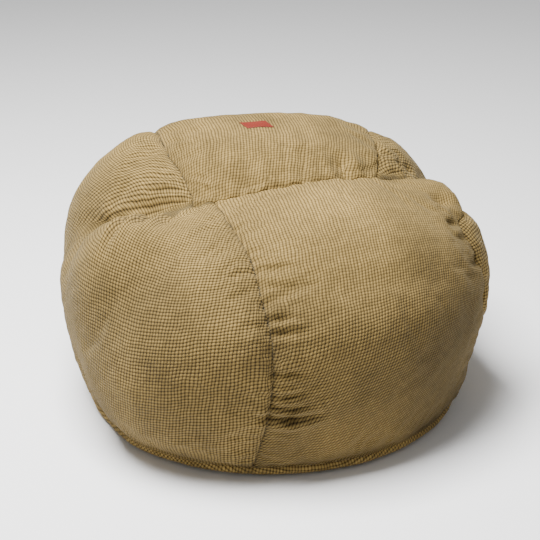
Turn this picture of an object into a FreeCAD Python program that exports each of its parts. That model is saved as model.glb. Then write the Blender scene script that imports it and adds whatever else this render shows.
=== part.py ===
import FreeCAD, Part
import math
import os
import Sketcher

# A round bean bag chair, 950 mm across and about 590 mm high. A sewn cover of four wall panels and a round base
# panel holds a zipped inner liner, and the liner holds the foam fill. A crease across the top parts the low seat
# lobe in front (-Y) from the higher back lobe. The cover's zip follows the base seam round the back, so its slider
# travels on a circle about the vertical axis. Millimetres, +Z up, origin at the middle of the footprint.

App = FreeCAD
doc = App.newDocument("BeanBagChair")
sheet = doc.addObject("Spreadsheet::Sheet", "Sizes")


class Size:
    """A size as the sheet knows it: its expression text, and its value for placing the first geometry."""

    def __init__(self, text, value):
        self.text = text
        self.value = float(value)

    def join(self, sign, other, value):
        return Size(f"({self.text} {sign} {as_size(other).text})", value)

    def __add__(self, other):
        return self.join("+", other, self.value + as_size(other).value)

    def __sub__(self, other):
        return self.join("-", other, self.value - as_size(other).value)

    def __mul__(self, other):
        return self.join("*", other, self.value * as_size(other).value)

    def __truediv__(self, other):
        return self.join("/", other, self.value / as_size(other).value)

    def __neg__(self):
        return Size(f"(0 - {self.text})", -self.value)


def as_size(number):
    return number if isinstance(number, Size) else Size(f"({number})", number)


def root(size):
    return Size(f"sqrt({size.text})", math.sqrt(size.value))


def lean_of(across, along):
    """The angle whose tangent is across over along, in degrees."""
    text = f"(atan2({across.text}; {along.text}) / 1 deg)"
    return Size(text, math.degrees(math.atan2(across.value, along.value)))


rows = {}


def cell(alias, value):
    """Keeps one driving dimension in the sheet and gives it back as a Size."""
    row = len(rows) + 1
    rows[alias] = row
    sheet.set(f"A{row}", alias)
    sheet.set(f"B{row}", str(value))
    sheet.setAlias(f"B{row}", alias)
    return Size(f"Sizes.{alias}", value)


# ---- the bag's outer form ----
bodyRadius = cell("bodyRadius", 475)          # the widest circle
bodyEquator = cell("bodyEquator", 280)        # its height
baseRadius = cell("baseRadius", 420)          # where the walls stand on the base rim
rimChamfer = cell("rimChamfer", 14)           # the base panel's turned-up edge
bodyTop = cell("bodyTop", 460)                # top of the bun under both lobes

seatMiddleX = cell("seatMiddleX", 6)
seatMiddleY = cell("seatMiddleY", -103)
seatMiddleZ = cell("seatMiddleZ", 240)
seatHalfWidth = cell("seatHalfWidth", 463)
seatHalfDepth = cell("seatHalfDepth", 344)
seatHalfHeight = cell("seatHalfHeight", 268)
seatYaw = cell("seatYaw", 14)                 # degrees, the seat lobe's right end lies further back
seatRoll = cell("seatRoll", 8)                # degrees, and higher

backMiddleX = cell("backMiddleX", -3)
backMiddleY = cell("backMiddleY", 180)
backMiddleZ = cell("backMiddleZ", 295)
backHalfWidth = cell("backHalfWidth", 450)
backHalfDepth = cell("backHalfDepth", 284)
backHalfHeight = cell("backHalfHeight", 298)

# ---- the layers ----
coverWall = cell("coverWall", 4)              # chenille with its pile
coverSlack = cell("coverSlack", 9)            # the liner lies loose inside the cover, clear of the zip
linerWall = cell("linerWall", 2)
linerSlack = cell("linerSlack", 3)
seamGap = cell("seamGap", 0.6)                # between two sewn edges

# ---- seams, seen from above: corner points on the crease and where each seam leads ----
leftCornerX = cell("leftCornerX", -150)
leftCornerY = cell("leftCornerY", -35)
rightCornerX = cell("rightCornerX", 262)
rightCornerY = cell("rightCornerY", 22)
frontLeftX = cell("frontLeftX", -92)          # the front left seam's foot
frontLeftY = cell("frontLeftY", -460)
frontRightX = cell("frontRightX", 440)        # the front right seam's foot
frontRightY = cell("frontRightY", -170)
rearRightX = cell("rearRightX", 290)
rearRightY = cell("rearRightY", 460)
rearLeftX = cell("rearLeftX", -230)
rearLeftY = cell("rearLeftY", 460)
rimTop = cell("rimTop", 26)                   # height of the base seam

# ---- the cover's zip, a size 10 coil on the rear half of the base seam ----
zipSpan = cell("zipSpan", 140)                # degrees of the base circle
zipOpening = cell("zipOpening", 17)           # between the wall panels' edge and the base rim
slotMargin = cell("slotMargin", 1.2)          # degrees of opening past each end of the tapes
coilHeight = cell("coilHeight", 3.9)          # each half of the chain
coilThick = cell("coilThick", 3.2)
coilPart = cell("coilPart", 1.4)              # between the two halves, where the slider's post passes
tapeWidth = cell("tapeWidth", 13)
tapeThick = cell("tapeThick", 1.0)
tapeSetback = cell("tapeSetback", 0.6)        # tape behind the cover's inner face
stopSpan = cell("stopSpan", 0.6)              # degrees
stopGap = cell("stopGap", 0.05)               # degrees between a stop and the chain's end
sewnGap = cell("sewnGap", 0.05)               # between a coil and the tape it is sewn to
sliderLength = cell("sliderLength", 22)
sliderHalfHeight = cell("sliderHalfHeight", 6.6)
plateThick = cell("plateThick", 1.8)
sliderClear = cell("sliderClear", 0.5)        # running clearance of the slider round the chain
restMargin = cell("restMargin", 1.7)          # degrees from the zip's start to the slider's middle
postThick = cell("postThick", 0.6)
postLength = cell("postLength", 6)
bailLength = cell("bailLength", 12)
bailHeight = cell("bailHeight", 4.6)
bailWidth = cell("bailWidth", 3)
bailThick = cell("bailThick", 1.4)
pullRodRadius = cell("pullRodRadius", 1.0)
pullThick = cell("pullThick", 1.8)
pullWidth = cell("pullWidth", 9)
pullLength = cell("pullLength", 34)
pullArm = cell("pullArm", 2.0)
pullReach = cell("pullReach", 8.5)            # from the rod to the solid part of the tab

# ---- the liner's zip, straight across its flat base ----
linerZipLength = cell("linerZipLength", 460)
linerZipY = cell("linerZipY", 60)
linerSlotWidth = cell("linerSlotWidth", 14)
linerTapeWidth = cell("linerTapeWidth", 11)
linerBaseRim = cell("linerBaseRim", 34)       # height of the liner's own base seam

# ---- the labels ----
labelWidth = cell("labelWidth", 72)
labelLength = cell("labelLength", 38)
labelX = cell("labelX", -8)
labelY = cell("labelY", 150)
labelThick = cell("labelThick", 0.9)
labelGap = cell("labelGap", 0.3)              # between a label and the cloth under it
careWidth = cell("careWidth", 30)
careLength = cell("careLength", 46)
careHeight = cell("careHeight", 96)           # its lower edge

sheet.recompute()
doc.recompute()

finished = {}


# ---------------------------------------------------------------- helpers
def bind(thing, path, size):
    thing.setExpression(path, as_size(size).text)


def place(thing, x=0, y=0, z=0, turns=(("z", 0),)):
    """Puts a thing at a place that follows the sheet. The turns are in degrees, the last one made first."""
    spot = "; ".join(as_size(v).text for v in (x, y, z))
    turning = " * ".join(f"rotation{axis}({as_size(angle).text})" for axis, angle in turns)
    thing.setExpression("Placement", f"placement(vector({spot}); {turning})")


def box(name, low, size):
    """A box from its lowest corner and its three sides."""
    made = doc.addObject("Part::Box", name)
    for prop, side in zip(("Length", "Width", "Height"), size):
        bind(made, prop, side)
    place(made, *low)
    return made


def block(name, x, y, z):
    """A box between two values on each axis."""
    spans = [(as_size(a), as_size(b)) for a, b in (x, y, z)]
    return box(name, [a for a, _ in spans], [b - a for a, b in spans])


def fuse(name, parts):
    made = doc.addObject("Part::MultiFuse", name)
    made.Shapes = parts
    return made


def cut(name, base, tool):
    made = doc.addObject("Part::Cut", name)
    made.Base = base
    made.Tool = tool
    return made


def common(name, base, tool):
    made = doc.addObject("Part::Common", name)
    made.Base = base
    made.Tool = tool
    return made


def keep(name, thing):
    """Marks a finished sub-part: its label names its file."""
    thing.Label = name
    finished[name] = thing
    return thing


def plane_of(body, role):
    return next(f for f in body.Origin.OriginFeatures if f.Role == role)


def sketch_on(body, name, role):
    made = body.newObject("Sketcher::SketchObject", name)
    made.AttachmentSupport = [(plane_of(body, role), "")]
    made.MapMode = "FlatFace"
    return made


def pin(sketch, index, end, kind, size):
    """Holds one end of a sketch's line or arc, or an arc's centre, at a distance from the axes."""
    number = sketch.addConstraint(Sketcher.Constraint(kind, index, end, size.value))
    sketch.setExpression(f"Constraints[{number}]", size.text)


def pin_start(sketch, index, x, y):
    pin(sketch, index, 1, "DistanceX", as_size(x))
    pin(sketch, index, 1, "DistanceY", as_size(y))


def outline(sketch, points):
    """A closed polygon whose corners follow the sheet."""
    spots = [(as_size(x), as_size(y)) for x, y in points]
    for i, (x, y) in enumerate(spots):
        after = spots[(i + 1) % len(spots)]
        sketch.addGeometry(
            Part.LineSegment(App.Vector(x.value, y.value, 0), App.Vector(after[0].value, after[1].value, 0)), False
        )
    for i, (x, y) in enumerate(spots):
        sketch.addConstraint(Sketcher.Constraint("Coincident", i, 2, (i + 1) % len(spots), 1))
        pin_start(sketch, i, x, y)


def revolve(name, body, sketch, degrees):
    made = body.newObject("PartDesign::Revolution", name)
    made.Profile = sketch
    made.ReferenceAxis = (sketch, ["V_Axis"])
    bind(made, "Angle", degrees)
    return made


def ring(name, points, degrees, start):
    """Part of a ring about the vertical axis: a profile in radius and height, from a start angle."""
    body = doc.addObject("PartDesign::Body", name)
    profile = sketch_on(body, name + "Profile", "XZ_Plane")
    outline(profile, points)
    revolve(name + "Turn", body, profile, degrees)
    place(body, turns=[("z", start)])
    return body


def prism(name, points, low, high):
    """An upright prism over a polygon seen from above."""
    body = doc.addObject("PartDesign::Body", name)
    profile = sketch_on(body, name + "Plan", "XY_Plane")
    outline(profile, points)
    pad = body.newObject("PartDesign::Pad", name + "Pad")
    pad.Profile = profile
    bind(pad, "Length", as_size(high) - low)
    place(body, 0, 0, low)
    return body


# ---------------------------------------------------------------- the form of the bag
def bun(name, inset, knee):
    """The lower body, turned about Z: a flat base, a bellied wall that starts at the knee, and a round shoulder."""
    body = doc.addObject("PartDesign::Body", name)
    profile = sketch_on(body, name + "Profile", "XZ_Plane")
    foot = baseRadius - inset
    wide = bodyRadius - inset
    belly = wide - foot
    rise = bodyEquator - knee
    arc = (belly * belly + rise * rise) / (belly * 2)
    shoulder = bodyTop - inset - bodyEquator
    spots = [
        (as_size(0), as_size(inset)),
        (foot - rimChamfer, as_size(inset)),
        (foot, knee),
        (wide, bodyEquator),
        (wide - shoulder, bodyTop - inset),
        (as_size(0), bodyTop - inset),
    ]
    points = [App.Vector(x.value, z.value, 0) for x, z in spots]
    centres = {2: (wide - arc, bodyEquator), 3: (wide - shoulder, bodyEquator)}
    for i, start in enumerate(points):
        end = points[(i + 1) % len(points)]
        if i in centres:
            x, z = centres[i]
            middle = App.Vector(x.value, z.value, 0)
            reach = (start - middle).Length
            first, last = [math.atan2((p - middle).y, (p - middle).x) for p in (start, end)]
            circle = Part.Circle(middle, App.Vector(0, 0, 1), reach)
            profile.addGeometry(Part.ArcOfCircle(circle, first, last), False)
        else:
            profile.addGeometry(Part.LineSegment(start, end), False)
    for i, (x, z) in enumerate(spots):
        profile.addConstraint(Sketcher.Constraint("Coincident", i, 2, (i + 1) % len(spots), 1))
        pin_start(profile, i, x, z)
    for i in centres:
        pin(profile, i, 3, "DistanceY", bodyEquator)
    revolve(name + "Turn", body, profile, 360)
    return body


def lobe(name, middle, radii, inset, turns):
    made = doc.addObject("Part::Ellipsoid", name)
    for prop, radius in zip(("Radius2", "Radius3", "Radius1"), radii):
        bind(made, prop, radius - inset)
    place(made, *middle, turns)
    return made


def form(name, inset, knee=rimChamfer):
    """The whole bag's solid form, drawn in by an inset: bun, seat lobe and back lobe, flat below."""
    seat = lobe(
        name + "Seat",
        (seatMiddleX, seatMiddleY, seatMiddleZ),
        (seatHalfWidth, seatHalfDepth, seatHalfHeight),
        inset,
        [("z", seatYaw), ("y", -seatRoll)],
    )
    back = lobe(
        name + "Back",
        (backMiddleX, backMiddleY, backMiddleZ),
        (backHalfWidth, backHalfDepth, backHalfHeight),
        inset,
        [("z", 0)],
    )
    lobes = fuse(name + "Lobes", [seat, back])
    below = block(
        name + "Below", (-bodyRadius * 2, bodyRadius * 2), (-bodyRadius * 2, bodyRadius * 2), (-bodyRadius, rimTop)
    )
    upper = cut(name + "Upper", lobes, below)
    return fuse(name, [bun(name + "Bun", inset, knee), upper])


none = as_size(0)
coverOuter = form("CoverOuter", none)
coverInner = form("CoverInner", coverWall)
linerInset = coverWall + coverSlack
linerKnee = rimChamfer + linerInset
linerOuter = form("LinerOuter", linerInset, linerKnee)
linerInner = form("LinerInner", linerInset + linerWall, linerKnee + linerWall)
fillInset = linerInset + linerWall + linerSlack

# ---------------------------------------------------------------- regions between the seams, seen from above
leftCorner = (leftCornerX, leftCornerY)
rightCorner = (rightCornerX, rightCornerY)


def beyond(corner, foot, times=2):
    """A point outside the bag on the line from a crease corner through a seam's foot."""
    return tuple(c + (f - c) * times for c, f in zip(corner, foot))


frontLeft = beyond(leftCorner, (frontLeftX, frontLeftY))
rearLeft = beyond(leftCorner, (rearLeftX, rearLeftY))
frontRight = beyond(rightCorner, (frontRightX, frontRightY), 3)
rearRight = beyond(rightCorner, (rearRightX, rearRightY))
far = bodyRadius * 2.2
regions = {
    "front_centre_panel": [leftCorner, frontLeft, (far, -far), frontRight, rightCorner],
    "back_centre_panel": [rightCorner, rearRight, (rearRight[0], far), (rearLeft[0], far), rearLeft, leftCorner],
    "left_side_panel": [leftCorner, rearLeft, (-far, far), (-far, -far), frontLeft],
    "right_side_panel": [rightCorner, frontRight, (far, far), rearRight],
}


def blade(name, start, end):
    """A thin upright wall along a seam, which parts two panels' edges."""
    run_x = end[0] - start[0]
    run_y = end[1] - start[1]
    half = seamGap / 2 / root(run_x * run_x + run_y * run_y)
    side_x = -run_y * half
    side_y = run_x * half
    corners = [(x + side_x * sign, y + side_y * sign) for x, y, sign in (start + (1,), end + (1,), end + (-1,), start + (-1,))]
    return prism(name, corners, none, bodyTop * 2)


seamBlades = fuse(
    "SeamBlades",
    [
        blade("SeamFrontLeft", leftCorner, frontLeft),
        blade("SeamRearLeft", leftCorner, rearLeft),
        blade("SeamFrontRight", rightCorner, frontRight),
        blade("SeamRearRight", rightCorner, rearRight),
        blade("SeamCrease", leftCorner, rightCorner),
    ],
)

# ---------------------------------------------------------------- the cover
coverShell = cut("CoverShell", coverOuter, coverInner)
wallShell = common(
    "WallShell",
    coverShell,
    block("AboveBaseSeam", (-far, far), (-far, far), (rimTop + seamGap, bodyTop * 2)),
)
zipStart = as_size(90) - zipSpan / 2                    # degrees from +X, so the zip is centred on +Y
slotInner = baseRadius - linerInset * 3
slotOuter = bodyRadius + coverWall * 2
wallFoot = rimTop + zipOpening
zipSlot = ring(
    "ZipSlot",
    [(slotInner, rimTop - seamGap), (slotOuter, rimTop - seamGap), (slotOuter, wallFoot), (slotInner, wallFoot)],
    zipSpan + slotMargin * 2,
    zipStart - slotMargin,
)
partedShell = cut("PartedShell", wallShell, fuse("SeamsAndSlot", [seamBlades, zipSlot]))
for panelName, corners in regions.items():
    region = prism("Region_" + panelName, corners, none, bodyTop * 2)
    keep(panelName, common("Panel_" + panelName, partedShell, region))

belowSeam = block("BelowBaseSeam", (-far, far), (-far, far), (-seamGap, rimTop))
keep("base_panel", common("BasePanel", coverShell, belowSeam))


# ---------------------------------------------------------------- the cover's zip, which leans with the wall
zipHeight = rimTop + zipOpening / 2
wallBelly = bodyRadius - baseRadius
wallRise = bodyEquator - rimChamfer
wallArc = (wallBelly * wallBelly + wallRise * wallRise) / (wallBelly * 2)
zipDrop = bodyEquator - zipHeight
zipRun = root(wallArc * wallArc - zipDrop * zipDrop)
zipLean = lean_of(zipDrop, zipRun)
leanSin = zipDrop / wallArc
leanCos = zipRun / wallArc
zipRadius = bodyRadius - wallArc + zipRun - coverWall - tapeSetback - tapeThick / 2   # the chain's middle
chainHalf = coilHeight + coilPart / 2


def leaning_ring(name, out, up, degrees, start):
    """A ring that follows the zip: its section spans outward and upward from the chain's middle."""
    corners = [(out[0], up[0]), (out[1], up[0]), (out[1], up[1]), (out[0], up[1])]
    points = [
        (zipRadius + leanCos * n + leanSin * along, zipHeight - leanSin * n + leanCos * along) for n, along in corners
    ]
    return ring(name, points, degrees, start)


tapeOut = (-tapeThick / 2, tapeThick / 2)
coilOut = (-coilThick / 2, coilThick / 2)
upperTape = (chainHalf + sewnGap, chainHalf + tapeWidth)
lowerTape = (-chainHalf - tapeWidth, -chainHalf - sewnGap)
upperCoil = (coilPart / 2, chainHalf)
lowerCoil = (-chainHalf, -coilPart / 2)
keep("zip_tape_upper", leaning_ring("ZipTapeUpper", tapeOut, upperTape, zipSpan, zipStart))
keep("zip_tape_lower", leaning_ring("ZipTapeLower", tapeOut, lowerTape, zipSpan, zipStart))
keep("zip_coil_upper", leaning_ring("ZipCoilUpper", coilOut, upperCoil, zipSpan, zipStart))
keep("zip_coil_lower", leaning_ring("ZipCoilLower", coilOut, lowerCoil, zipSpan, zipStart))

# A metal clip across each end of the chain, which the slider runs up against.
stopOut = (-coilThick, coilThick)
stopUp = (-chainHalf, chainHalf)
keep("zip_bottom_stop", leaning_ring("ZipBottomStop", stopOut, stopUp, stopSpan, zipStart - stopSpan - stopGap))
keep("zip_top_stop", leaning_ring("ZipTopStop", stopOut, stopUp, stopSpan, zipStart + zipSpan + stopGap))

# A slider is made about its own middle, +X out through its bail, +Y along the chain and +Z across it.
halfSlider = sliderLength / 2
innerGap = coilThick / 2 + sliderClear
outerFace = innerGap + plateThick
flangeGap = tapeThick / 2 + sliderClear * 2
flangeStart = chainHalf + sliderClear * 2


def ordered(start, end):
    """A span with its lower value first."""
    start, end = as_size(start), as_size(end)
    return (start, end) if start.value <= end.value else (end, start)


def slider_blocks():
    """Two plates, their turned-in edges and the post that joins them: spans on X, Y and Z by name."""
    post = ((-outerFace, outerFace), (-halfSlider, -halfSlider + postLength), (-postThick / 2, postThick / 2))
    blocks = {"Post": post}
    length = (-halfSlider, halfSlider)
    for side, sign in (("Outer", 1), ("Inner", -1)):
        plate = ordered(innerGap * sign, outerFace * sign)
        edge = ordered(flangeGap * sign, innerGap * sign)
        blocks[side + "Plate"] = (plate, length, (-sliderHalfHeight, sliderHalfHeight))
        blocks[side + "EdgeTop"] = (edge, length, (flangeStart, sliderHalfHeight))
        blocks[side + "EdgeLow"] = (edge, length, (-sliderHalfHeight, -flangeStart))
    return blocks


# The cover's slider carries a bail, whose window holds the pull's rod.
halfBail = bailLength / 2
bailTop = outerFace + bailHeight
bailAcross = (-bailWidth / 2, bailWidth / 2)
coverSlider = slider_blocks()
coverSlider["BailLegStart"] = ((outerFace, bailTop), (-halfBail, -halfBail + bailThick), bailAcross)
coverSlider["BailLegEnd"] = ((outerFace, bailTop), (halfBail - bailThick, halfBail), bailAcross)
coverSlider["BailBridge"] = ((bailTop - bailThick, bailTop), (-halfBail, halfBail), bailAcross)
zipSlider = fuse("ZipSlider", [block("Slider" + part, *spans) for part, spans in coverSlider.items()])

# The pull turns on its rod. At rest its tab lies back along the zip.
rodOut = bailTop - bailThick - pullRodRadius - sliderClear
halfPull = pullWidth / 2
pullRod = doc.addObject("Part::Cylinder", "PullRod")
bind(pullRod, "Radius", pullRodRadius)
bind(pullRod, "Height", pullWidth)
place(pullRod, rodOut, 0, -halfPull)
tabOut = (rodOut - pullThick / 2, rodOut + pullThick / 2)
pullTab = block("PullTab", tabOut, (pullReach, pullLength), (-halfPull, halfPull))
armLow = block("PullArmLow", tabOut, (0, pullReach), (-halfPull, -halfPull + pullArm))
armHigh = block("PullArmHigh", tabOut, (0, pullReach), (halfPull - pullArm, halfPull))
zipPull = fuse("ZipPull", [pullRod, pullTab, armLow, armHigh])

restAngle = zipStart + restMargin
spotX = Size(f"({zipRadius.text} * cos({restAngle.text}))", zipRadius.value * math.cos(math.radians(restAngle.value)))
spotY = Size(f"({zipRadius.text} * sin({restAngle.text}))", zipRadius.value * math.sin(math.radians(restAngle.value)))
for piece in (zipSlider, zipPull):
    place(piece, spotX, spotY, zipHeight, [("z", restAngle), ("y", zipLean)])
keep("zip_slider", zipSlider)
keep("zip_pull", zipPull)

# ---------------------------------------------------------------- the liner and its zip
linerShell = cut("LinerShell", linerOuter, linerInner)
linerUpper = common(
    "LinerUpper", linerShell, block("AboveLinerSeam", (-far, far), (-far, far), (linerBaseRim + seamGap, bodyTop * 2))
)
for side, span in (("left", (-far, -seamGap / 2)), ("right", (seamGap / 2, far))):
    half = block("LinerSide_" + side, span, (-far, far), (0, bodyTop * 2))
    keep(f"liner_{side}_half", common("LinerHalf_" + side, linerUpper, half))

linerDish = common("LinerDish", linerShell, block("BelowLinerSeam", (-far, far), (-far, far), (0, linerBaseRim)))
halfLinerZip = linerZipLength / 2
linerSlot = block(
    "LinerSlot",
    (-halfLinerZip - stopSpan * 10, halfLinerZip + stopSpan * 10),
    (linerZipY - linerSlotWidth / 2, linerZipY + linerSlotWidth / 2),
    (0, linerInset + linerWall * 2),
)
keep("liner_base", cut("LinerBase", linerDish, linerSlot))

linerZipZ = linerInset - tapeThick / 2 - sliderClear      # the tapes lie just under the liner's base
tapeSpanZ = (linerZipZ - tapeThick / 2, linerZipZ + tapeThick / 2)
coilSpanZ = (linerZipZ - coilThick / 2, linerZipZ + coilThick / 2)
zipSpanX = (-halfLinerZip, halfLinerZip)
for side, sign in (("front", -1), ("back", 1)):
    tape_y = ordered(linerZipY + chainHalf * sign, linerZipY + (chainHalf + linerTapeWidth) * sign)
    coil_y = ordered(linerZipY + coilPart / 2 * sign, linerZipY + chainHalf * sign)
    keep(f"liner_zip_tape_{side}", block("LinerTape_" + side, zipSpanX, tape_y, tapeSpanZ))
    keep(f"liner_zip_coil_{side}", block("LinerCoil_" + side, zipSpanX, coil_y, coilSpanZ))

stopBlocks = [
    block(
        "LinerStop_" + side,
        ordered((halfLinerZip + sliderClear) * sign, (halfLinerZip + sliderClear + coilThick) * sign),
        (linerZipY - chainHalf, linerZipY + chainHalf),
        coilSpanZ,
    )
    for side, sign in (("left", -1), ("right", 1))
]
keep("liner_zip_stops", fuse("LinerZipStops", stopBlocks))

# The liner's slider has no pull, so that a child can't open it. It rests at the zip's left end.
linerSliderX = -halfLinerZip + halfSlider + 1
linerSliderParts = [block("LinerSlider" + part, *spans) for part, spans in slider_blocks().items()]
linerSlider = fuse("LinerZipSlider", linerSliderParts)
place(linerSlider, linerSliderX, linerZipY, linerZipZ, [("z", -90), ("y", 90)])
keep("liner_zip_slider", linerSlider)

# ---------------------------------------------------------------- the fill
keep("foam_fill", form("FoamFill", fillInset, rimChamfer + fillInset))

# ---------------------------------------------------------------- the labels, which lie on the cloth
labelUnder = form("LabelUnder", -labelGap)
labelOver = form("LabelOver", -labelGap - labelThick)
labelLayer = cut("LabelLayer", labelOver, labelUnder)
labelTop = block(
    "LabelRegion",
    (labelX - labelWidth / 2, labelX + labelWidth / 2),
    (labelY - labelLength / 2, labelY + labelLength / 2),
    (bodyTop, bodyTop * 2),
)
keep("red_label", common("RedLabel", labelLayer, labelTop))
careRegion = block(
    "CareRegion",
    (rearRightX - careLength, rearRightX),
    (baseRadius / 2, bodyRadius * 2),
    (careHeight, careHeight + careWidth),
)
keep("care_label", common("CareLabel", labelLayer, careRegion))

# ---------------------------------------------------------------- check and write
doc.recompute()
for thing in doc.Objects:
    if "Invalid" in thing.State or "Error" in thing.State:
        raise RuntimeError(f"{thing.Name} ({thing.TypeId}) failed: {thing.State}")

os.makedirs("parts", exist_ok=True)
for name, thing in finished.items():
    shape = thing.Shape
    if shape.isNull() or not shape.isValid() or not shape.Solids:
        raise RuntimeError(f"{name} has no valid solid")
    shape.exportStep(f"parts/{name}.step")
    print(f"{name}: {len(shape.Solids)} solid(s), {shape.Volume / 1000:.1f} cm3")
for label, size in (
    ("zip radius", zipRadius),
    ("zip height", zipHeight),
    ("zip lean", zipLean),
    ("rest angle", restAngle),
    ("rod out", rodOut),
    ("liner slider x", linerSliderX),
    ("liner zip z", linerZipZ),
):
    print(f"{label}: {size.value:.4f}")
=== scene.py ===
import math

import bpy
import numpy as np
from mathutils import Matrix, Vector
from mathutils.bvhtree import BVHTree


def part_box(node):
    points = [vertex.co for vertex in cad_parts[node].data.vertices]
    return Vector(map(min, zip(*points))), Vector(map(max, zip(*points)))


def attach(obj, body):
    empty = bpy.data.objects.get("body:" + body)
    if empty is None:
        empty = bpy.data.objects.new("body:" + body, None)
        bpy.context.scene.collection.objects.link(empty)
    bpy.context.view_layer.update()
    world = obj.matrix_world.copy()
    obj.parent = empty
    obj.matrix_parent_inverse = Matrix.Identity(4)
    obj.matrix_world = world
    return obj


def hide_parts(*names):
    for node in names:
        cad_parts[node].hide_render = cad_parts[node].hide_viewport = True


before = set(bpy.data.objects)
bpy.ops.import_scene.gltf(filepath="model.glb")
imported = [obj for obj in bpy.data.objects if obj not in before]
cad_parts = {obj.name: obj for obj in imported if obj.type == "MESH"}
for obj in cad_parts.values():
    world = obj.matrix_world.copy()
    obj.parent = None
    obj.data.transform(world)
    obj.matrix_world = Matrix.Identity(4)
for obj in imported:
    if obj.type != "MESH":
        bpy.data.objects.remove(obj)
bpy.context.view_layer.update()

# A round bean bag chair in a khaki chenille cover: metres, +Z up, the sitter faces -Y.

# Sizes and settings, one dictionary for each piece.
bagForm = {
    "seatLobe": {"centre": (0.006, -0.103, 0.239), "radii": (0.466, 0.343, 0.267),
                 "yaw": 13.8, "roll": 7.8, "power": 2.3},
    "backLobe": {"centre": (-0.003, 0.178, 0.295), "radii": (0.452, 0.280, 0.298),
                 "yaw": -4.5, "roll": 0.6, "power": 2.3},
    "rightShoulder": {"centre": (0.345, -0.035, 0.335), "radii": (0.125, 0.17, 0.15),
                      "yaw": 20, "roll": 0, "power": 2},
    "leftShoulder": {"centre": (-0.33, -0.10, 0.335), "radii": (0.13, 0.17, 0.13),
                     "yaw": -15, "roll": 0, "power": 2},
    "shoulderBlend": 0.05,
    "creaseBlend": 0.012,       # how softly the two lobes meet
    "creaseFade": 0.07,         # added at the left end, where the crease runs out
    "bunRadius": 0.475,
    "bunEquator": 0.287,
    "bunTop": 0.46,
    "footDraw": 0.0545,         # how far the wall draws in down to the floor
    "footPower": 2.64,
    "topPower": 2.4,
    "bunBlend": 0.03,
    "rimRound": 0.013,          # the base rim's lower edge
    "grooveDepth": 0.0085,      # the base seam pulls in
    "grooveWidth": 0.009,
    "seamHeight": 0.0265,
    "zipDraw": 0.0075,          # the wall is drawn in along the zip
    "centre": (0, 0, 0.2),
    "fuller": [                 # where the fill pushes out or has settled away, how far round, and how much
        ((0.46, 0.02, 0.40), 0.12, -0.036),
        ((0.40, -0.03, 0.50), 0.06, 0.024),
        ((0.47, 0.06, 0.16), 0.12, 0.016),
        ((0.42, 0.05, 0.05), 0.06, -0.010),
        ((0.37, 0.12, 0.53), 0.06, 0.006),
        ((-0.44, -0.10, 0.10), 0.12, -0.013),
        ((-0.29, 0.20, 0.53), 0.07, 0.010),
        ((-0.33, -0.13, 0.44), 0.09, 0.016),
        ((-0.30, -0.02, 0.44), 0.05, -0.012),
    ],
}
coarseLevel = 6    # the cloth is simulated at this level of an icosphere
fineLevel = 7

# Seams seen from above, from the crease outwards.
leftCorner = (-0.178, -0.042)
rightCorner = (0.242, -0.016)
rightKnot = (0.34, 0.013)       # the crease ends here in a knot of gathers
seams = {
    "crease": [(-0.60, 0.12), (-0.40, 0.04), (-0.30, -0.015), leftCorner, (-0.05, -0.050), (0.10, -0.040),
               rightCorner, rightKnot, (0.60, 0.11)],
    "frontLeft": [(-0.136, -0.0446), (-0.132, -0.087), (-0.129, -0.136), (-0.124, -0.188),
                  (-0.117, -0.232), (-0.107, -0.28),
                  (-0.099, -0.368), (-0.092, -0.436), (-0.089, -0.475), (-0.089, -0.60)],
    "rearLeft": [leftCorner, (-0.199, 0.032), (-0.219, 0.094), (-0.224, 0.173), (-0.228, 0.46), (-0.235, 0.60)],
    "frontRight": [rightKnot, (0.395, -0.01), (0.425, -0.06), (0.420, -0.11), (0.396, -0.155), (0.402, -0.18),
                   (0.418, -0.20), (0.45, -0.225), (0.55, -0.305)],
    "rearRight": [rightCorner, (0.260, 0.036), (0.272, 0.082), (0.279, 0.149), (0.290, 0.46), (0.292, 0.60)],
}
seamLean = 0.028                # the front left seam swings this far left at its foot
seamLook = {"depth": 0.0052, "width": 0.0048, "lip": 0.0010, "lipAt": 0.013, "puckers": 0.0020, "puckerReach": 0.035}
cloth = {"thickness": 0.003, "waste": 1.12, "pressure": 3.0, "frames": 20,
         "seamShrink": 0.08,        # how much the seams draw in
         "spare": -0.03,            # the cloth between them is cut this much too large
         "cap": 0.006,              # the furthest that a wrinkle moves the cloth
         "widest": 22,              # rounds of smoothing that part the wrinkles from the form
         "share": 0.75}             # how much of the wrinkles is kept
zipPlan = {"spanStart": 19.0, "spanEnd": 161.0, "upper": 0.043}     # degrees round the wall, and the slot's top


# Small helpers.
def linear(hexColour):
    channels = [int(hexColour[i:i + 2], 16) / 255 for i in (1, 3, 5)]
    return [c / 12.92 if c <= 0.04045 else ((c + 0.055) / 1.055) ** 2.4 for c in channels] + [1.0]


def smoothStep(low, high, values):
    t = np.clip((values - low) / (high - low), 0, 1)
    return t * t * (3 - 2 * t)


def softNoise(points, size, seed, octaves=3):
    # smooth wandering noise from -1 to 1, the same every run
    rng = np.random.default_rng(seed)
    total = np.zeros(len(points))
    for octave in range(octaves):
        for _ in range(5):
            way = rng.normal(size=points.shape[1])
            way *= 2 * math.pi * 2 ** octave / size / np.linalg.norm(way) * rng.uniform(0.6, 1.2)
            total += np.sin(points @ way + rng.uniform(0, 2 * math.pi)) / 2 ** octave
    return total / 5.5


# The bag's form.
def smoothMin(a, b, blend):
    h = np.clip(0.5 + 0.5 * (b - a) / blend, 0, 1)
    return b * (1 - h) + a * h - blend * h * (1 - h)


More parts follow.
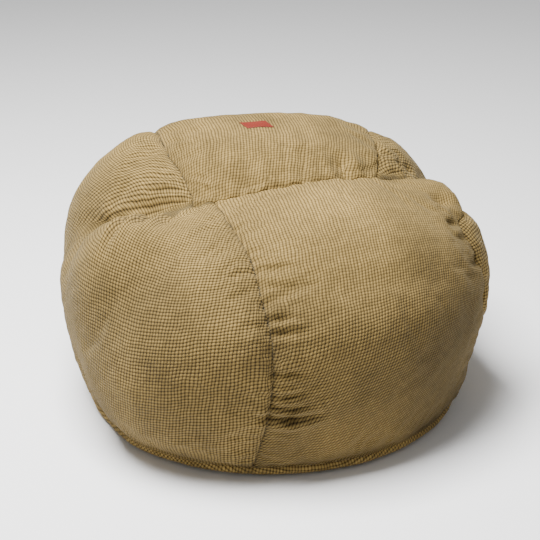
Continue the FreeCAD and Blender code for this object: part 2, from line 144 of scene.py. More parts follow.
def lobeDistance(points, lobe):
    yaw, roll = math.radians(lobe["yaw"]), math.radians(lobe["roll"])
    turnZ = np.array([[math.cos(yaw), -math.sin(yaw), 0], [math.sin(yaw), math.cos(yaw), 0], [0, 0, 1]])
    turnY = np.array([[math.cos(roll), 0, -math.sin(roll)], [0, 1, 0], [math.sin(roll), 0, math.cos(roll)]])
    local = (points - np.array(lobe["centre"])) @ (turnZ @ turnY)
    scaled = np.abs(local / np.array(lobe["radii"]))
    if lobe["power"] == 2:
        reach = np.sqrt((scaled ** 2).sum(1))
    else:
        reach = (scaled ** lobe["power"]).sum(1) ** (1 / lobe["power"])
    return np.linalg.norm(local, axis=1) * (1 - 1 / np.maximum(reach, 1e-6))


def bunDistance(points):
    f = bagForm
    z = points[:, 2]
    down = np.clip((f["bunEquator"] - z) / f["bunEquator"], 0, 3)
    wall = f["bunRadius"] - f["footDraw"] * down ** f["footPower"]
    up = np.clip((z - f["bunEquator"]) / (f["bunTop"] - f["bunEquator"]), 0, 1)
    dome = f["bunRadius"] * (1 - up ** f["topPower"]) ** (1 / f["topPower"])
    radius = np.where(z < f["bunEquator"], wall, dome)
    return np.maximum(np.hypot(points[:, 0], points[:, 1]) - radius, z - f["bunTop"])


def bagDistance(points, inset=0.0):
    f = bagForm
    seat = lobeDistance(points, f["seatLobe"])
    for name in ("rightShoulder", "leftShoulder"):
        seat = smoothMin(seat, lobeDistance(points, f[name]), f["shoulderBlend"])
    back = lobeDistance(points, f["backLobe"])
    blend = f["creaseBlend"] + f["creaseFade"] * smoothStep(0.37, 0.48, -points[:, 0])
    whole = smoothMin(smoothMin(seat, back, blend), bunDistance(points), f["bunBlend"])
    for place, reach, amount in f["fuller"]:
        whole -= amount * np.exp(-((points - np.array(place)) ** 2).sum(1) / reach ** 2)
    z = points[:, 2]
    groove = f["grooveDepth"] * np.exp(-((z - f["seamHeight"]) / f["grooveWidth"]) ** 2)
    rim = f["rimRound"] * np.clip(1 - z / 0.014, 0, 1) ** 2
    turn = np.degrees(np.arctan2(points[:, 1], points[:, 0]))
    besideZip = smoothStep(8, 20, turn) * (1 - smoothStep(160, 172, turn))
    groove += f["zipDraw"] * besideZip * np.exp(-((z - zipPlan["upper"]) / 0.02) ** 2)
    return np.maximum(whole + groove + rim + inset, inset - z)


def onBag(directions, start, inset=0.0, steps=60):
    # walks in from outside along each direction until it meets the form
    centre = np.array(bagForm["centre"])
    reach = start.copy()
    for _ in range(steps):
        reach -= 0.8 * bagDistance(centre + directions * reach[:, None], inset)
    return reach


# Triangle meshes in arrays.
def icosahedron():
    t = (1 + 5 ** 0.5) / 2
    corners = [(-1, t, 0), (1, t, 0), (-1, -t, 0), (1, -t, 0), (0, -1, t), (0, 1, t), (0, -1, -t), (0, 1, -t),
               (t, 0, -1), (t, 0, 1), (-t, 0, -1), (-t, 0, 1)]
    faces = [(0, 11, 5), (0, 5, 1), (0, 1, 7), (0, 7, 10), (0, 10, 11), (1, 5, 9), (5, 11, 4), (11, 10, 2), (10, 7, 6),
             (7, 1, 8), (3, 9, 4), (3, 4, 2), (3, 2, 6), (3, 6, 8), (3, 8, 9), (4, 9, 5), (2, 4, 11), (6, 2, 10),
             (8, 6, 7), (9, 8, 1)]
    return np.array(corners, float), np.array(faces)


def edgesOf(faces):
    pairs = np.sort(np.concatenate([faces[:, [0, 1]], faces[:, [1, 2]], faces[:, [2, 0]]]), axis=1)
    edges, index = np.unique(pairs, axis=0, return_inverse=True)
    return edges, index.reshape(3, -1)


def splitFaces(values, faces):
    # each triangle becomes four, and each new point starts halfway along its edge
    edges, index = edgesOf(faces)
    ab, bc, ca = index + len(values)
    a, b, c = faces.T
    finer = np.concatenate([np.stack(f, 1) for f in ((a, ab, ca), (b, bc, ab), (c, ca, bc), (ab, bc, ca))])
    return np.concatenate([values, (values[edges[:, 0]] + values[edges[:, 1]]) / 2]), finer


def smoothed(values, faces, rounds, strength=0.5):
    edges, _ = edgesOf(faces)
    count = np.bincount(edges.ravel(), minlength=len(values)).astype(float)
    for _ in range(rounds):
        total = np.zeros_like(values)
        for k in range(values.shape[1]):
            total[:, k] = (np.bincount(edges[:, 0], values[edges[:, 1], k], len(values))
                           + np.bincount(edges[:, 1], values[edges[:, 0], k], len(values)))
        values = values + strength * (total / count[:, None] - values)
    return values


def normalsOf(points, faces):
    a, b, c = points[faces[:, 0]], points[faces[:, 1]], points[faces[:, 2]]
    across = np.cross(b - a, c - a)
    normals = np.zeros_like(points)
    for k in range(3):
        for corner in range(3):
            normals[:, k] += np.bincount(faces[:, corner], across[:, k], len(points))
    return normals / (np.linalg.norm(normals, axis=1)[:, None] + 1e-12)


def cutAlong(channels, faces, level, snap=0.3):
    # cuts the triangles along the line where level is nought; channels holds every value a point carries
    value = level(channels)
    edges, _ = edgesOf(faces)
    a, b = edges.T
    crossing = value[a] * value[b] < 0
    a, b = a[crossing], b[crossing]
    t = value[a] / (value[a] - value[b])
    near = np.concatenate([a[t < snap], b[t > 1 - snap]])       # points close to the line move onto it
    far = np.concatenate([b[t < snap], a[t > 1 - snap]])
    share = np.concatenate([t[t < snap], 1 - t[t > 1 - snap]])
    order = np.argsort(-share, kind="stable")
    moved = channels.copy()
    moved[near[order]] = channels[near[order]] + (channels[far[order]] - channels[near[order]]) * share[order, None]
    value = value.copy()
    value[near] = 0
    edges, index = edgesOf(faces)
    crossing = value[edges[:, 0]] * value[edges[:, 1]] < 0
    a, b = edges[crossing].T
    t = value[a] / (value[a] - value[b])
    added = moved[a] + (moved[b] - moved[a]) * t[:, None]
    newIndex = np.full(len(edges), -1)
    newIndex[crossing] = len(moved) + np.arange(crossing.sum())
    onEdge = newIndex[index].T                                   # new point on edges ab, bc, ca of each face
    crossed = onEdge >= 0
    result = [faces[crossed.sum(1) == 0]]
    for k in range(3):
        turn = [k, (k + 1) % 3, (k + 2) % 3]
        p, q, r = faces[:, turn].T
        pq, qr, rp = onEdge[:, turn].T
        one = (crossed.sum(1) == 1) & (qr >= 0)                  # the line runs through p and across qr
        result += [np.stack([p, q, qr], 1)[one], np.stack([p, qr, r], 1)[one]]
        two = (crossed.sum(1) == 2) & (qr < 0)                   # p stands alone on its side
        result += [np.stack(f, 1)[two] for f in ((p, pq, rp), (pq, q, r), (pq, r, rp))]
    return np.concatenate([moved, added]), np.concatenate(result)


def meshObject(name, points, faces, smooth=True):
    mesh = bpy.data.meshes.new(name)
    mesh.from_pydata([], [], [])
    mesh.vertices.add(len(points))
    mesh.vertices.foreach_set("co", np.ascontiguousarray(points, dtype=np.float32).ravel())
    size = faces.shape[1]
    mesh.loops.add(faces.size)
    mesh.loops.foreach_set("vertex_index", np.ascontiguousarray(faces, dtype=np.int32).ravel())
    mesh.polygons.add(len(faces))
    mesh.polygons.foreach_set("loop_start", np.arange(0, faces.size, size, dtype=np.int32))
    mesh.update(calc_edges=True)
    mesh.validate()
    mesh.polygons.foreach_set("use_smooth", np.full(len(mesh.polygons), smooth))
    made = bpy.data.objects.new(name, mesh)
    bpy.context.scene.collection.objects.link(made)
    return made


def keepPart(faces, chosen):
    # the chosen faces renumbered, and which points they use
    part = faces[chosen]
    used, index = np.unique(part, return_inverse=True)
    return used, index.reshape(part.shape)


def applyModifiers(thing):
    shape = bpy.data.meshes.new_from_object(thing.evaluated_get(bpy.context.evaluated_depsgraph_get()))
    old = thing.data
    thing.modifiers.clear()
    thing.data = shape
    shape.name = thing.name
    bpy.data.meshes.remove(old)


# Seams.
def creaseLine(x):
    xs, ys = np.array(seams["crease"]).T
    return np.interp(x, xs, ys)


def swing(points):
    # how far the front left seam has swung aside at a point's height
    return -seamLean * (1 - smoothStep(0.0, 0.27, points[:, 2])) * (points[:, 1] < -0.2)


def acrossSeam(name, points):
    # signed distance along X from a seam that runs front to back
    line = np.array(seams[name])
    order = np.argsort(line[:, 1])
    away = points[:, 0] - np.interp(points[:, 1], line[order, 1], line[order, 0])
    return away - swing(points) if name == "frontLeft" else away


def planDistance(points, line):
    # distance in plan from a seam line, and how far along it
    best = np.full(len(points), 9.0)
    along = np.zeros(len(points))
    start = 0.0
    for p, q in zip(line[:-1], line[1:]):
        p, q = np.array(p), np.array(q)
        length = np.linalg.norm(q - p)
        way = (q - p) / length
        t = np.clip((points[:, :2] - p) @ way, 0, length)
        away = np.linalg.norm(points[:, :2] - p - t[:, None] * way, axis=1)
        closer = away < best
        best = np.where(closer, away, best)
        along = np.where(closer, start + t, along)
        start += length
    return best, along


def seamFields(points):
    # for each seam: distance from it, and how far along its run a point lies, with height counted in
    front = points[:, 1] < creaseLine(points[:, 0])
    between = seams["crease"][3:8]
    fields = {}
    for name in ("frontLeft", "rearLeft", "frontRight", "rearRight"):
        upright = points.copy()
        if name == "frontLeft":
            upright[:, 0] -= swing(points)
        away, along = planDistance(upright, seams[name])
        ownSide = front if name.startswith("front") else ~front
        corner = np.linalg.norm(points[:, :2] - np.array(seams[name][0]), axis=1)
        fields[name] = (np.where(ownSide, away, corner), along + 0.5 - points[:, 2])
    away, along = planDistance(points, between)
    fields["crease"] = (away, along)
    return fields


# The cover's surface.
def bagDirections(level):
    directions, faces = icosahedron()
    directions /= np.linalg.norm(directions, axis=1)[:, None]
    for _ in range(level):
        directions, faces = splitFaces(directions, faces)
        directions /= np.linalg.norm(directions, axis=1)[:, None]
    return directions, faces


def simulatedWrinkles(points, faces):
    # blows the sewn cover up a little and draws its seams in, and gives back only the wrinkles this makes
    thing = meshObject("clothTrial", points, faces)
    fields = seamFields(points)
    weights = np.zeros(len(points))
    for away, _ in fields.values():
        weights = np.maximum(weights, 1 - smoothStep(0.004, 0.016, away))
    height = points[:, 2]
    weights = np.maximum(weights, 1 - smoothStep(0.004, 0.016, np.abs(height - bagForm["seamHeight"])))
    gathers = thing.vertex_groups.new(name="gathers")
    held = thing.vertex_groups.new(name="held")
    for i in np.nonzero(weights > 0.01)[0]:
        gathers.add([int(i)], float(weights[i]), "REPLACE")
    held.add([int(i) for i in np.nonzero(height < 0.02)[0]], 1.0, "REPLACE")
    settings = thing.modifiers.new("Cloth", "CLOTH").settings
    settings.quality = 5
    settings.mass = 0.3
    settings.tension_stiffness = settings.compression_stiffness = 18
    settings.shear_stiffness = 8
    settings.bending_stiffness = 0.6
    settings.tension_damping = settings.compression_damping = 12
    settings.air_damping = 2
    settings.use_pressure = True
    settings.uniform_pressure_force = cloth["pressure"]
    settings.vertex_group_mass = "held"
    settings.pin_stiffness = 1
    settings.vertex_group_shrink = "gathers"
    settings.shrink_min = cloth["spare"]
    settings.shrink_max = cloth["seamShrink"]
    settings.effector_weights.gravity = 0
    scene = bpy.context.scene
    for step in range(1, cloth["frames"] + 1):
        scene.frame_set(step)
    result = thing.evaluated_get(bpy.context.evaluated_depsgraph_get()).to_mesh()
    moved = np.empty(len(points) * 3, np.float32)
    result.vertices.foreach_get("co", moved)
    offset = moved.reshape(-1, 3).astype(float) - points
    scene.frame_set(1)
    bpy.data.objects.remove(thing)
    wrinkles = (offset - smoothed(offset, faces, cloth["widest"])) * cloth["share"]
    size = np.linalg.norm(wrinkles, axis=1)
    print("simulated: moved", round(float(np.abs(offset).max()), 4), "wrinkles", round(float(size.max()), 4))
    return wrinkles * np.minimum(1, cloth["cap"] / np.maximum(size, 1e-9))[:, None]


coarse, coarseFaces = bagDirections(coarseLevel)
reach = onBag(coarse, np.full(len(coarse), 0.85))
coarsePoints = np.array(bagForm["centre"]) + coarse * reach[:, None]
print("form made:", len(coarsePoints), "points", coarsePoints.min(0).round(3), coarsePoints.max(0).round(3))
coarseWrinkles = simulatedWrinkles(coarsePoints, coarseFaces)

carried = np.concatenate([coarse, reach[:, None], coarseWrinkles], axis=1)
faces = coarseFaces
for _ in range(fineLevel - coarseLevel):
    carried, faces = splitFaces(carried, faces)
directions = carried[:, :3] / np.linalg.norm(carried[:, :3], axis=1)[:, None]
reach = onBag(directions, carried[:, 3] + 0.004, steps=14)
rest = np.array(bagForm["centre"]) + directions * reach[:, None]
wrinkles = smoothed(carried[:, 4:7], faces, 2)
normals = normalsOf(smoothed(rest, faces, 2) + wrinkles, faces)
channels = np.concatenate([rest, wrinkles, normals], axis=1)

for level in (
    lambda c: c[:, 1] - creaseLine(c[:, 0]),
    lambda c: acrossSeam("frontLeft", c),
    lambda c: acrossSeam("rearLeft", c),
    lambda c: acrossSeam("rearRight", c),
    lambda c: acrossSeam("frontRight", c),
    lambda c: c[:, 2] - bagForm["seamHeight"],
    lambda c: c[:, 2] - zipPlan["upper"],
    lambda c: np.sin(np.arctan2(c[:, 1], c[:, 0]) - math.radians(zipPlan["spanStart"])),
    lambda c: np.sin(np.arctan2(c[:, 1], c[:, 0]) - math.radians(zipPlan["spanEnd"])),
):
    channels, faces = cutAlong(channels, faces, level)
rest, wrinkles, normals = channels[:, :3], channels[:, 3:6], channels[:, 6:9]
normals = normals / np.linalg.norm(normals, axis=1)[:, None]
print("surface cut along the seams:", len(faces), "triangles")

# Folds laid in one by one: each runs from start to end, a valley with a ridge beside it.
folds = [
    {"start": (-0.109, -0.289, 0.461), "end": (-0.06, -0.294, 0.466), "depth": 0.0030, "width": 0.006},
    {"start": (-0.105, -0.338, 0.436), "end": (-0.02, -0.351, 0.440), "depth": 0.0045, "width": 0.007},
    {"start": (-0.106, -0.335, 0.436), "end": (-0.180, -0.338, 0.427), "depth": 0.0035, "width": 0.008},
    {"start": (-0.096, -0.405, 0.394), "end": (-0.01, -0.386, 0.414), "depth": 0.0050, "width": 0.009},
    {"start": (-0.094, -0.432, 0.371), "end": (-0.01, -0.437, 0.374), "depth": 0.0050, "width": 0.008},
    {"start": (-0.091, -0.450, 0.349), "end": (0.00, -0.456, 0.351), "depth": 0.0065, "width": 0.008},
    {"start": (-0.099, -0.438, 0.360), "end": (-0.170, -0.432, 0.355), "depth": 0.0040, "width": 0.010},
    {"start": (-0.093, -0.470, 0.269), "end": (-0.02, -0.475, 0.273), "depth": 0.0055, "width": 0.007},
    {"start": (-0.093, -0.471, 0.220), "end": (0.00, -0.475, 0.224), "depth": 0.0040, "width": 0.006},
    {"start": (-0.097, -0.469, 0.195), "end": (-0.01, -0.473, 0.195), "depth": 0.0040, "width": 0.006},
    {"start": (-0.045, -0.472, 0.163), "end": (-0.150, -0.458, 0.174), "depth": 0.0085, "width": 0.008},
    {"start": (-0.060, -0.472, 0.163), "end": (0.030, -0.468, 0.176), "depth": 0.0080, "width": 0.008},
    {"start": (-0.301, -0.020, 0.450), "end": (-0.405, -0.210, 0.461), "depth": 0.0130, "width": 0.0075},
    {"start": (-0.265, -0.030, 0.456), "end": (-0.335, -0.150, 0.470), "depth": 0.0095, "width": 0.009},
    {"start": (-0.225, -0.040, 0.462), "end": (-0.275, -0.150, 0.475), "depth": 0.0080, "width": 0.010},
    {"start": (-0.310, -0.010, 0.446), "end": (-0.440, 0.080, 0.438), "depth": 0.0090, "width": 0.010},
    {"start": (0.170, -0.030, 0.510), "end": (0.150, 0.045, 0.560), "depth": 0.0120, "width": 0.016},
    {"start": (0.060, -0.035, 0.520), "end": (0.075, 0.060, 0.570), "depth": 0.0045, "width": 0.020},
    {"start": (-0.060, -0.035, 0.520), "end": (-0.045, 0.090, 0.570), "depth": 0.0045, "width": 0.020},
    {"start": (0.335, 0.020, 0.480), "end": (0.300, 0.090, 0.520), "depth": 0.0080, "width": 0.010},
    {"start": (0.385, -0.165, 0.455), "end": (0.345, -0.190, 0.460), "depth": 0.0070, "width": 0.010},
    {"start": (0.405, -0.190, 0.420), "end": (0.370, -0.225, 0.420), "depth": 0.0060, "width": 0.010},
    {"start": (0.425, -0.205, 0.370), "end": (0.390, -0.245, 0.360), "depth": 0.0050, "width": 0.010},
]
# Hollows and swellings in the cover: where, how far across, how deep.
dents = [
    ((0.364, -0.108, 0.477), 0.023, -0.014),
    ((0.395, -0.090, 0.478), 0.018, 0.009),
    ((0.338, -0.140, 0.477), 0.016, 0.005),
    ((0.345, 0.070, 0.490), 0.016, -0.010),
]


def foldedBy(points):
    total = np.zeros(len(points))
    for fold in folds:
        p, q = np.array(fold["start"]), np.array(fold["end"])
        length = np.linalg.norm(q - p)
        way = (q - p) / length
        t = (points - p) @ way
        aside = points - p - np.clip(t, 0, length)[:, None] * way
        if p[2] > 0.43 and q[2] > 0.43:
            aside[:, 2] *= 0.1          # on the top, the surface bulges above a fold's straight line
        away = np.linalg.norm(aside, axis=1)
        fade = smoothStep(-0.02, 0.01, t) * (1 - smoothStep(0.45 * length, length, t))
        valley = np.exp(-(away / fold["width"]) ** 1.3)
        ridge = 0.55 * np.exp(-((away - 2.1 * fold["width"]) / (0.9 * fold["width"])) ** 2)
        total += fold["depth"] * fade * (ridge - valley)
    for place, reach, amount in dents:
        total += amount * np.exp(-((points - np.array(place)) ** 2).sum(1) / reach ** 2)
    return total


def coverHeight(points):
    # how far the cloth stands out from the form: seam valleys, puckers, folds and slow lumps
    look = seamLook
    height = 0.0035 * softNoise(points, 0.16, 4) + 0.0012 * softNoise(points, 0.05, 5)
    for number, (away, along) in enumerate(seamFields(points).values()):
        run = np.stack([along, away * 0.35], axis=1)
        puckers = softNoise(run, 0.055, 20 + number, 2)
        height += look["puckers"] * puckers * np.exp(-(away / look["puckerReach"]) ** 2)
        height -= look["depth"] * np.exp(-(away / look["width"]) ** 1.2)
        height += look["lip"] * np.exp(-((away - look["lipAt"]) / 0.008) ** 2)
    angle = np.arctan2(points[:, 1], points[:, 0])
    ring = np.stack([np.cos(angle), np.sin(angle)], axis=1) * 0.43
    gather = softNoise(ring, 0.06, 31, 2) * np.exp(-((points[:, 2] - 0.05) / 0.025) ** 2)
    height += 0.0018 * gather
    return (height + foldedBy(points)) * calmNear(points)


def calmNear(points):
    # nothing lifts the cloth off the floor or over the zip
    turn = np.degrees(np.arctan2(points[:, 1], points[:, 0]))
    besideZip = smoothStep(8, 18, turn) * (1 - smoothStep(162, 172, turn))
    return smoothStep(0.0, 0.02, points[:, 2]) * (1 - besideZip * (1 - smoothStep(0.045, 0.085, points[:, 2])))


shown = rest + wrinkles * calmNear(rest)[:, None] + normals * coverHeight(rest)[:, None]
shown[:, 2] = np.maximum(shown[:, 2], 0)

# The cover's panels.
middle = rest[faces].mean(1)
front = middle[:, 1] < creaseLine(middle[:, 0])
turn = np.degrees(np.arctan2(middle[:, 1], middle[:, 0]))
below = middle[:, 2] < bagForm["seamHeight"]
inSlot = (~below & (middle[:, 2] < zipPlan["upper"]) & (turn > zipPlan["spanStart"]) & (turn < zipPlan["spanEnd"]))
leftSide = np.where(front, acrossSeam("frontLeft", middle) < 0, acrossSeam("rearLeft", middle) < 0)
rightSide = np.where(front, acrossSeam("frontRight", middle) > 0, acrossSeam("rearRight", middle) > 0)
wall = ~below & ~inSlot
panels = {
    "left_side_panel": wall & leftSide,
    "right_side_panel": wall & rightSide & ~leftSide,
    "front_centre_panel": wall & front & ~leftSide & ~rightSide,
    "back_centre_panel": wall & ~front & ~leftSide & ~rightSide,
    "base_panel": below,
}

# The cloth's own grain: u runs across the ribs and v along them, in metres. v is the run up the wall from the floor.
heightTurns = np.radians(np.arange(-180, 181, 5))
heightRise = np.radians(np.linspace(-26, 90, 117))
turnGrid, riseGrid = np.meshgrid(heightTurns, heightRise, indexing="ij")
gridWays = np.stack([np.cos(riseGrid) * np.cos(turnGrid), np.cos(riseGrid) * np.sin(turnGrid), np.sin(riseGrid)],
                    axis=2)
gridReach = onBag(gridWays.reshape(-1, 3), np.full(turnGrid.size, 0.85), steps=30).reshape(turnGrid.shape)
gridPoints = gridWays * gridReach[:, :, None]
gridStep = np.linalg.norm(np.diff(gridPoints, axis=1), axis=2)
gridRun = np.concatenate([np.zeros((len(heightTurns), 1)), np.cumsum(gridStep, axis=1)], axis=1)

sectionAngles = np.linspace(-0.35 * math.pi, 1.35 * math.pi, 400)     # the middle section, from under the front
sectionWays = np.stack([np.zeros(400), -np.cos(sectionAngles), np.sin(sectionAngles)], axis=1)
section = sectionWays * onBag(sectionWays, np.full(400, 0.85))[:, None]
sectionRun = np.concatenate([[0], np.cumsum(np.linalg.norm(np.diff(section, axis=0), axis=1))])

grain = {
    "leftMiddle": -120.0,       # the way, in plan, that the left panel's ribs run straight up
    "leftBackMiddle": 150.0,
    "rightMiddle": -20.0,
    "rightBackMiddle": 30.0,
    "leftTurn": 5.0,
    "leftBackTurn": 6.0,
    "rightTurn": -6.0,
    "frontRise": 0.19,          # the front panel's rows climb to the right
    "leftLean": ([0.05, 0.2, 0.3, 0.4], [0.28, 0.22, 0.10, 0.0]),       # heights, and how far the ribs lean there
    "frontLean": ([0.05, 0.2, 0.29, 0.36, 0.47], [0.85, 0.72, 0.32, 0.16, 0.0]),
    "backLean": ([-0.05, 0.05, 0.15], [0.40, 0.20, 0.0]),
}


def leanRun(table, values):
    # the sideways shift that a changing lean adds up to
    places = np.linspace(table[0][0], table[0][-1], 200)
    lean = np.interp(places, *table)
    shift = np.concatenate([np.cumsum(lean[::-1])[::-1][1:] * (places[1] - places[0]), [0]])
    return np.interp(values, places, shift) + lean[0] * np.maximum(places[0] - values, 0)


def runUp(points):
    # the distance over the surface from the floor up to each point
    local = points - np.array(bagForm["centre"])
    turn = (np.degrees(np.arctan2(local[:, 1], local[:, 0])) + 180) / 5
    rise = np.degrees(np.arctan2(local[:, 2], np.hypot(local[:, 0], local[:, 1]))) + 26
    i = np.clip(turn.astype(int), 0, gridRun.shape[0] - 2)
    j = np.clip(rise.astype(int), 0, gridRun.shape[1] - 2)
    p, q = np.clip(turn - i, 0, 1), np.clip(rise - j, 0, 1)
    return ((gridRun[i, j] * (1 - p) + gridRun[i + 1, j] * p) * (1 - q)
            + (gridRun[i, j + 1] * (1 - p) + gridRun[i + 1, j + 1] * p) * q)


def around(points, middle, turned):
    # rows lie level and keep their spacing; the ribs stand upright at the middle way
    away = (np.degrees(np.arctan2(points[:, 1], points[:, 0])) - middle + 180) % 360 - 180
    u, v = np.hypot(points[:, 0], points[:, 1]) * np.radians(away), runUp(points)
    angle = math.radians(turned)
    return np.stack([u * math.cos(angle) + v * math.sin(angle), -u * math.sin(angle) + v * math.cos(angle)], axis=1)


def grainOf(name, points):
    x, y, z = points.T
    g = grain
    if name in ("front_centre_panel", "back_centre_panel"):
        angle = np.arctan2(z - bagForm["centre"][2], -y)
        angle = np.where(angle < -0.5 * math.pi, angle + 2 * math.pi, angle)
        u = 0.5 * np.arcsin(np.clip(x / 0.5, -1, 1))
        v = np.interp(angle, sectionAngles, sectionRun)
        if name == "front_centre_panel":
            return np.stack([u + leanRun(g["frontLean"], z), v - g["frontRise"] * u], axis=1)
        return np.stack([u + leanRun(g["backLean"], y), v], axis=1)
    if name == "base_panel":
        radius = np.hypot(x, y) + 1e-9
        return np.stack([x / radius * (radius + z), y / radius * (radius + z)], axis=1)
    past = y - creaseLine(x)
    band = 0.13 - 0.115 * smoothStep(0.34, 0.44, z)
    behind = smoothStep(-band, band, past)[:, None]
    if name == "left_side_panel":
        low = around(points, g["leftMiddle"], g["leftTurn"])
        low[:, 0] += leanRun(g["leftLean"], z)
        high = around(points, g["leftBackMiddle"], g["leftBackTurn"])
        return low * (1 - behind) + (high - high0["left"] + low0["left"]) * behind
    low = around(points, g["rightMiddle"], g["rightTurn"])
    high = around(points, g["rightBackMiddle"], -g["rightTurn"])
    return low * (1 - behind) + (high - high0["right"] + low0["right"]) * behind


# the two grains of a side panel agree at its outermost point
outermost = {"left": np.array([[-0.474, 0.05, 0.287]]), "right": np.array([[0.474, 0.05, 0.287]])}
low0 = {"left": around(outermost["left"], grain["leftMiddle"], grain["leftTurn"]),
        "right": around(outermost["right"], grain["rightMiddle"], grain["rightTurn"])}
low0["left"][:, 0] += leanRun(grain["leftLean"], outermost["left"][:, 2])
high0 = {"left": around(outermost["left"], grain["leftBackMiddle"], grain["leftBackTurn"]),
         "right": around(outermost["right"], grain["rightBackMiddle"], -grain["rightTurn"])}


# Materials.
def addNode(tree, kind, inputs=(), **settings):
    node = tree.nodes.new(kind)
    for name, value in settings.items():
        setattr(node, name, value)
    for key, value in dict(inputs).items():
        if isinstance(value, bpy.types.Node):
            value = value.outputs[0]
        if isinstance(value, bpy.types.NodeSocket):
            tree.links.new(value, node.inputs[key])
        else:
            node.inputs[key].default_value = value
    return node


def newMaterial(name, **constants):
    material = bpy.data.materials.new(name)
    material.use_nodes = True
    tree = material.node_tree
    shader = tree.nodes["Principled BSDF"]
    for key, value in constants.items():
        shader.inputs[key.replace("_", " ")].default_value = value
    return material, tree, shader


chenille = {
    "pitch": 0.0070,            # from one pip of pile to the next, both ways
    "gap": "#221906",
    "pile": "#725d33",
    "tip": "#947c48",
    "wander": 0.0025,           # how far the rows stray
}


def chenilleWaffle():
    # Waffle corduroy: cotton and polyester chenille with its pile cut into a grid of pips. Matte, with dark gaps
    # between the pips, and paler where the pile lies towards the light. Its tone by place from the nap attribute is
    # partly painted shade and painted light.
    material, tree, shader = newMaterial("chenille waffle corduroy, woven and cut", Roughness=0.92, Sheen_Weight=0.12,
                                         Sheen_Roughness=0.5)
    shader.inputs["Specular IOR Level"].default_value = 0.15
    shader.inputs["Sheen Tint"].default_value = linear("#e8d8b0")
    place = addNode(tree, "ShaderNodeTexCoord")
    cloth = addNode(tree, "ShaderNodeUVMap", uv_map="cloth")
    wander = addNode(tree, "ShaderNodeTexNoise", {"Vector": place.outputs["Object"], "Scale": 16.0, "Detail": 2.0})
    centred = addNode(tree, "ShaderNodeVectorMath", {0: wander.outputs["Color"], 1: (0.5, 0.5, 0.5)},
                      operation="SUBTRACT")
    drift = addNode(tree, "ShaderNodeVectorMath", {0: centred, "Scale": chenille["wander"] * 4}, operation="SCALE")
    moved = addNode(tree, "ShaderNodeVectorMath", {0: cloth.outputs["UV"], 1: drift}, operation="ADD")
    grid = addNode(tree, "ShaderNodeVectorMath", {0: moved, "Scale": 1 / chenille["pitch"]}, operation="SCALE")
    parts = addNode(tree, "ShaderNodeSeparateXYZ", {0: grid})
    cell = addNode(tree, "ShaderNodeVectorMath", {0: grid}, operation="FLOOR")
    chance = addNode(tree, "ShaderNodeTexWhiteNoise", {"Vector": cell}, noise_dimensions="2D")
    rowDepth = addNode(tree, "ShaderNodeAttribute", attribute_name="rowDepth")
    waves = []
    for axis in ("X", "Y"):
        angle = addNode(tree, "ShaderNodeMath", {0: parts.outputs[axis], 1: math.pi}, operation="MULTIPLY")
        wave = addNode(tree, "ShaderNodeMath", {0: angle}, operation="SINE")
        waves.append(addNode(tree, "ShaderNodeMath", {0: wave}, operation="ABSOLUTE"))
    waves[1] = addNode(tree, "ShaderNodeMapRange", {"Value": rowDepth.outputs["Fac"], "To Min": 0.75,
                                                    "To Max": waves[1]})
    both = addNode(tree, "ShaderNodeMath", {0: waves[0], 1: waves[1]}, operation="MULTIPLY")
    either = addNode(tree, "ShaderNodeMath", {0: waves[0], 1: waves[1]}, operation="ADD")
    half = addNode(tree, "ShaderNodeMath", {0: either, 1: 0.35}, operation="MULTIPLY")
    pip = addNode(tree, "ShaderNodeMath", {0: both, 1: 0.3, 2: half}, operation="MULTIPLY_ADD")
    fuzz = addNode(tree, "ShaderNodeTexNoise", {"Vector": place.outputs["Object"], "Scale": 420.0, "Detail": 2.0})
    height = addNode(tree, "ShaderNodeMath", {0: fuzz.outputs["Fac"], 1: 0.25, 2: pip}, operation="MULTIPLY_ADD")
    ramp = addNode(tree, "ShaderNodeValToRGB", {"Fac": pip})
    stops = ramp.color_ramp.elements
    stops[0].position, stops[0].color = 0.16, linear(chenille["gap"])
    stops[1].position, stops[1].color = 0.95, linear(chenille["tip"])
    centre = stops.new(0.55)
    centre.color = linear(chenille["pile"])
    nap = addNode(tree, "ShaderNodeTexNoise", {"Vector": place.outputs["Object"], "Scale": 6.5, "Detail": 4.0,
                                               "Roughness": 0.6})
    napTone = addNode(tree, "ShaderNodeMapRange", {"Value": nap.outputs["Fac"], "From Min": 0.3, "From Max": 0.7,
                                                   "To Min": 0.74, "To Max": 1.20})
    # the nap attribute: nap tone with painted shade and painted light by place
    napAndShadeAttribute = addNode(tree, "ShaderNodeAttribute", attribute_name="nap")
    pipTone = addNode(tree, "ShaderNodeMapRange", {"Value": chance.outputs["Value"], "To Min": 0.86, "To Max": 1.12})
    tone = addNode(tree, "ShaderNodeMath", {0: napTone, 1: pipTone}, operation="MULTIPLY")
    allTone = addNode(tree, "ShaderNodeMath", {0: tone, 1: napAndShadeAttribute.outputs["Fac"]}, operation="MULTIPLY")
    coloured = addNode(tree, "ShaderNodeVectorMath", {0: ramp.outputs["Color"], "Scale": allTone}, operation="SCALE")
    bump = addNode(tree, "ShaderNodeBump", {"Height": height, "Distance": 0.0018, "Strength": 0.9})
    tree.links.new(coloured.outputs[0], shader.inputs["Base Color"])
    tree.links.new(bump.outputs["Normal"], shader.inputs["Normal"])
    return material


def rowDepthOf(name, points):
    # the pile is combed into ribs on the centre panels, where the gaps between rows show less
    if name == "front_centre_panel":
        return 1 - 0.5 * smoothStep(0.30, 0.44, points[:, 2])
    return np.full(len(points), 0.5 if name == "back_centre_panel" else 1.0)


